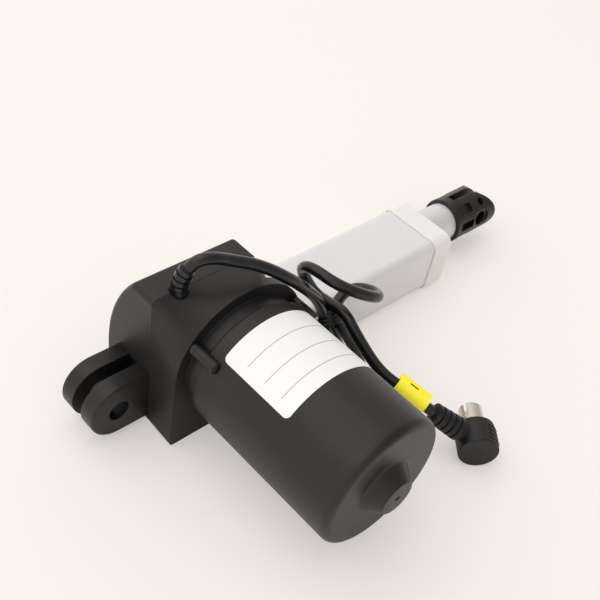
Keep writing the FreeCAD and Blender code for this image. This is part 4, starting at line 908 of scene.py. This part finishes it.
class ACTUATOR_OT_ridge_plug(bpy.types.Operator):
    """Carry the lands between the plug's grip grooves on over its upper side"""
    bl_idname = "actuator.ridge_plug"
    bl_label = "Ridge Plug"

    def execute(self, context):
        sizes = context.scene.actuator_cord
        radius = PLUG_RADIUS + sizes.rib_proud - RIB_THICK / 2
        ribs = swept_ribbon("plug_grip_ribs", sizes.rib_width, RIB_THICK, radius, RIB_SWEEP, steps=16)
        add_modifier(ribs, "ARRAY", count=sizes.rib_count, use_relative_offset=False,
                     use_constant_offset=True, constant_offset_displace=(0, 0, sizes.rib_pitch))
        ribs.data.transform(Matrix.Rotation(math.radians(RIB_START), 4, "Z"))
        ribs.data.transform(Matrix.Translation((0, 0, RIB_FIRST)))
        place_piece(ribs, axes_matrix(PLUG_BACK, PLUG_AXIS, Vector((0, 0, 1))))
        smooth(ribs)
        ribs.data.materials.append(bpy.data.materials["plug_moulding"])
        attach(ribs, "base")
        return {"FINISHED"}


class ACTUATOR_OT_declare_cord(bpy.types.Operator):
    """Gather the cord's new and packed pieces into a list, which is not used further"""
    bl_idname = "actuator.declare_cord"
    bl_label = "Declare Cord"

    def execute(self, context):
        on_cord = [bpy.data.objects[name] for name in NEW_ON_CORD]
        on_cord += [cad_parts[name] for name in PACKED_ON_CORD]
        return {"FINISHED"}


def floor_finish(colour, glow):
    """Matt pale floor, a share of which the camera sees as plain white."""
    material, start = blank_material("studio_floor")
    cloud = noise(object_place(start), scale=1.5, detail=2.0)
    body = blended(cloud, scaled(colour, 0.995), scaled(colour, 1.005))
    matt = start.add("ShaderNodeBsdfDiffuse", None, {"Color": body})
    white = start.add("ShaderNodeEmission", None, {"Color": rgba(colour), "Strength": 1.0})
    seen = start.add("ShaderNodeLightPath", None, None, "Is Camera Ray")
    mixed = start.add("ShaderNodeMixShader", None, {0: seen * glow, 1: matt, 2: white})
    start.add("ShaderNodeOutputMaterial", None, {"Surface": mixed})
    return material


def add_softbox(name, power):
    bpy.ops.object.light_add(type="AREA", location=LAMP_PLACE)
    lamp = bpy.context.object
    lamp.name = name
    lamp.data.size = LAMP_SIZE
    lamp.data.energy = power
    lamp.rotation_euler = (LAMP_TARGET - LAMP_PLACE).to_track_quat("-Z", "Y").to_euler()


def set_surround(scene, colour, level, dim):
    """White surround, dimmer in front, that lights softly and is plain white behind the object."""
    world = bpy.data.worlds.new("studio_surround")
    scene.world = world
    world.use_nodes = True
    world.node_tree.nodes.clear()
    start = Signal(world.node_tree)
    heading = start.add("ShaderNodeTexCoord", output="Generated")
    shade = 1.0 - ramped(dot(heading, DIM_SIDE), low=0.15, high=0.95) * dim
    light = start.add("ShaderNodeBackground", None, {"Color": (1, 1, 1, 1), "Strength": shade * level})
    gloss = start.add("ShaderNodeBackground", None, {"Color": rgba(colour), "Strength": shade})
    backdrop = start.add("ShaderNodeBackground", None, {"Color": rgba(colour), "Strength": 1.0})
    shiny = start.add("ShaderNodeLightPath", None, None, "Is Glossy Ray")
    seen = start.add("ShaderNodeLightPath", None, None, "Is Camera Ray")
    lit = start.add("ShaderNodeMixShader", None, {0: shiny, 1: light, 2: gloss})
    mixed = start.add("ShaderNodeMixShader", None, {0: seen, 1: lit, 2: backdrop})
    start.add("ShaderNodeOutputWorld", None, {"Surface": mixed})


class ACTUATOR_OT_set_stage(bpy.types.Operator):
    """Add the pale floor, the soft lamp, the surround and the camera"""
    bl_idname = "actuator.set_stage"
    bl_label = "Set Stage"

    def execute(self, context):
        stage = context.scene.actuator_stage
        floor_colour = tuple(stage.floor_colour)
        clear_selection()
        bpy.ops.mesh.primitive_circle_add(vertices=96, radius=FLOOR_RADIUS, fill_type="NGON",
                                          location=(0, 0, CAD_BOX[0].z))
        floor = context.object
        floor.name = "studio_floor"
        floor.data.materials.append(floor_finish(floor_colour, stage.floor_glow))
        add_softbox("top_softbox", stage.top_power)
        set_surround(context.scene, floor_colour, stage.light_level, stage.dim)
        bpy.ops.object.camera_add(location=CAMERA_PLACE,
                                  rotation=[math.radians(angle) for angle in CAMERA_TURN])
        camera = context.object
        camera.name = "photo_camera"
        camera.data.lens = stage.lens
        camera.data.sensor_width = SENSOR_WIDTH
        camera.data.clip_start = 0.01
        context.scene.camera = camera
        context.scene.view_settings.view_transform = "Standard"
        return {"FINISHED"}


GROUPS = (
    ("actuator_looks", ActuatorLooks),
    ("actuator_cover", ActuatorCover),
    ("actuator_cord", ActuatorCord),
    ("actuator_stage", ActuatorStage),
)
STEPS = (
    ACTUATOR_OT_dress_nodes,
    ACTUATOR_OT_tighten_cover,
    ACTUATOR_OT_lay_cord,
    ACTUATOR_OT_wrap_tie,
    ACTUATOR_OT_fold_flag,
    ACTUATOR_OT_number_flag,
    ACTUATOR_OT_ridge_plug,
    ACTUATOR_OT_declare_cord,
    ACTUATOR_OT_set_stage,
)


class ACTUATOR_PT_sidebar(bpy.types.Panel):
    """Lists the sizes and the steps in the 3D view's sidebar"""
    bl_idname = "ACTUATOR_PT_sidebar"
    bl_label = "Bed Actuator"
    bl_space_type = "VIEW_3D"
    bl_region_type = "UI"
    bl_category = "Actuator"

    def draw(self, context):
        for group_name, kind in GROUPS:
            group = getattr(context.scene, group_name)
            box = self.layout.box()
            for name in kind.bl_rna.properties.keys():
                if name not in ("rna_type", "name"):
                    box.prop(group, name)
        for step in STEPS:
            self.layout.operator(step.bl_idname)


def register():
    for name, group in GROUPS:
        bpy.utils.register_class(group)
        setattr(bpy.types.Scene, name, PointerProperty(type=group))
    for step in STEPS:
        bpy.utils.register_class(step)
    bpy.utils.register_class(ACTUATOR_PT_sidebar)


def unregister():
    bpy.utils.unregister_class(ACTUATOR_PT_sidebar)
    for step in reversed(STEPS):
        bpy.utils.unregister_class(step)
    for name, group in reversed(GROUPS):
        delattr(bpy.types.Scene, name)
        bpy.utils.unregister_class(group)


def main():
    register()
    bpy.ops.actuator.dress_nodes()
    bpy.ops.actuator.tighten_cover()
    bpy.ops.actuator.lay_cord()
    bpy.ops.actuator.wrap_tie()
    bpy.ops.actuator.fold_flag()
    bpy.ops.actuator.number_flag()
    bpy.ops.actuator.ridge_plug()
    bpy.ops.actuator.declare_cord()
    bpy.ops.actuator.set_stage()


if __name__ == "__main__":
    main()
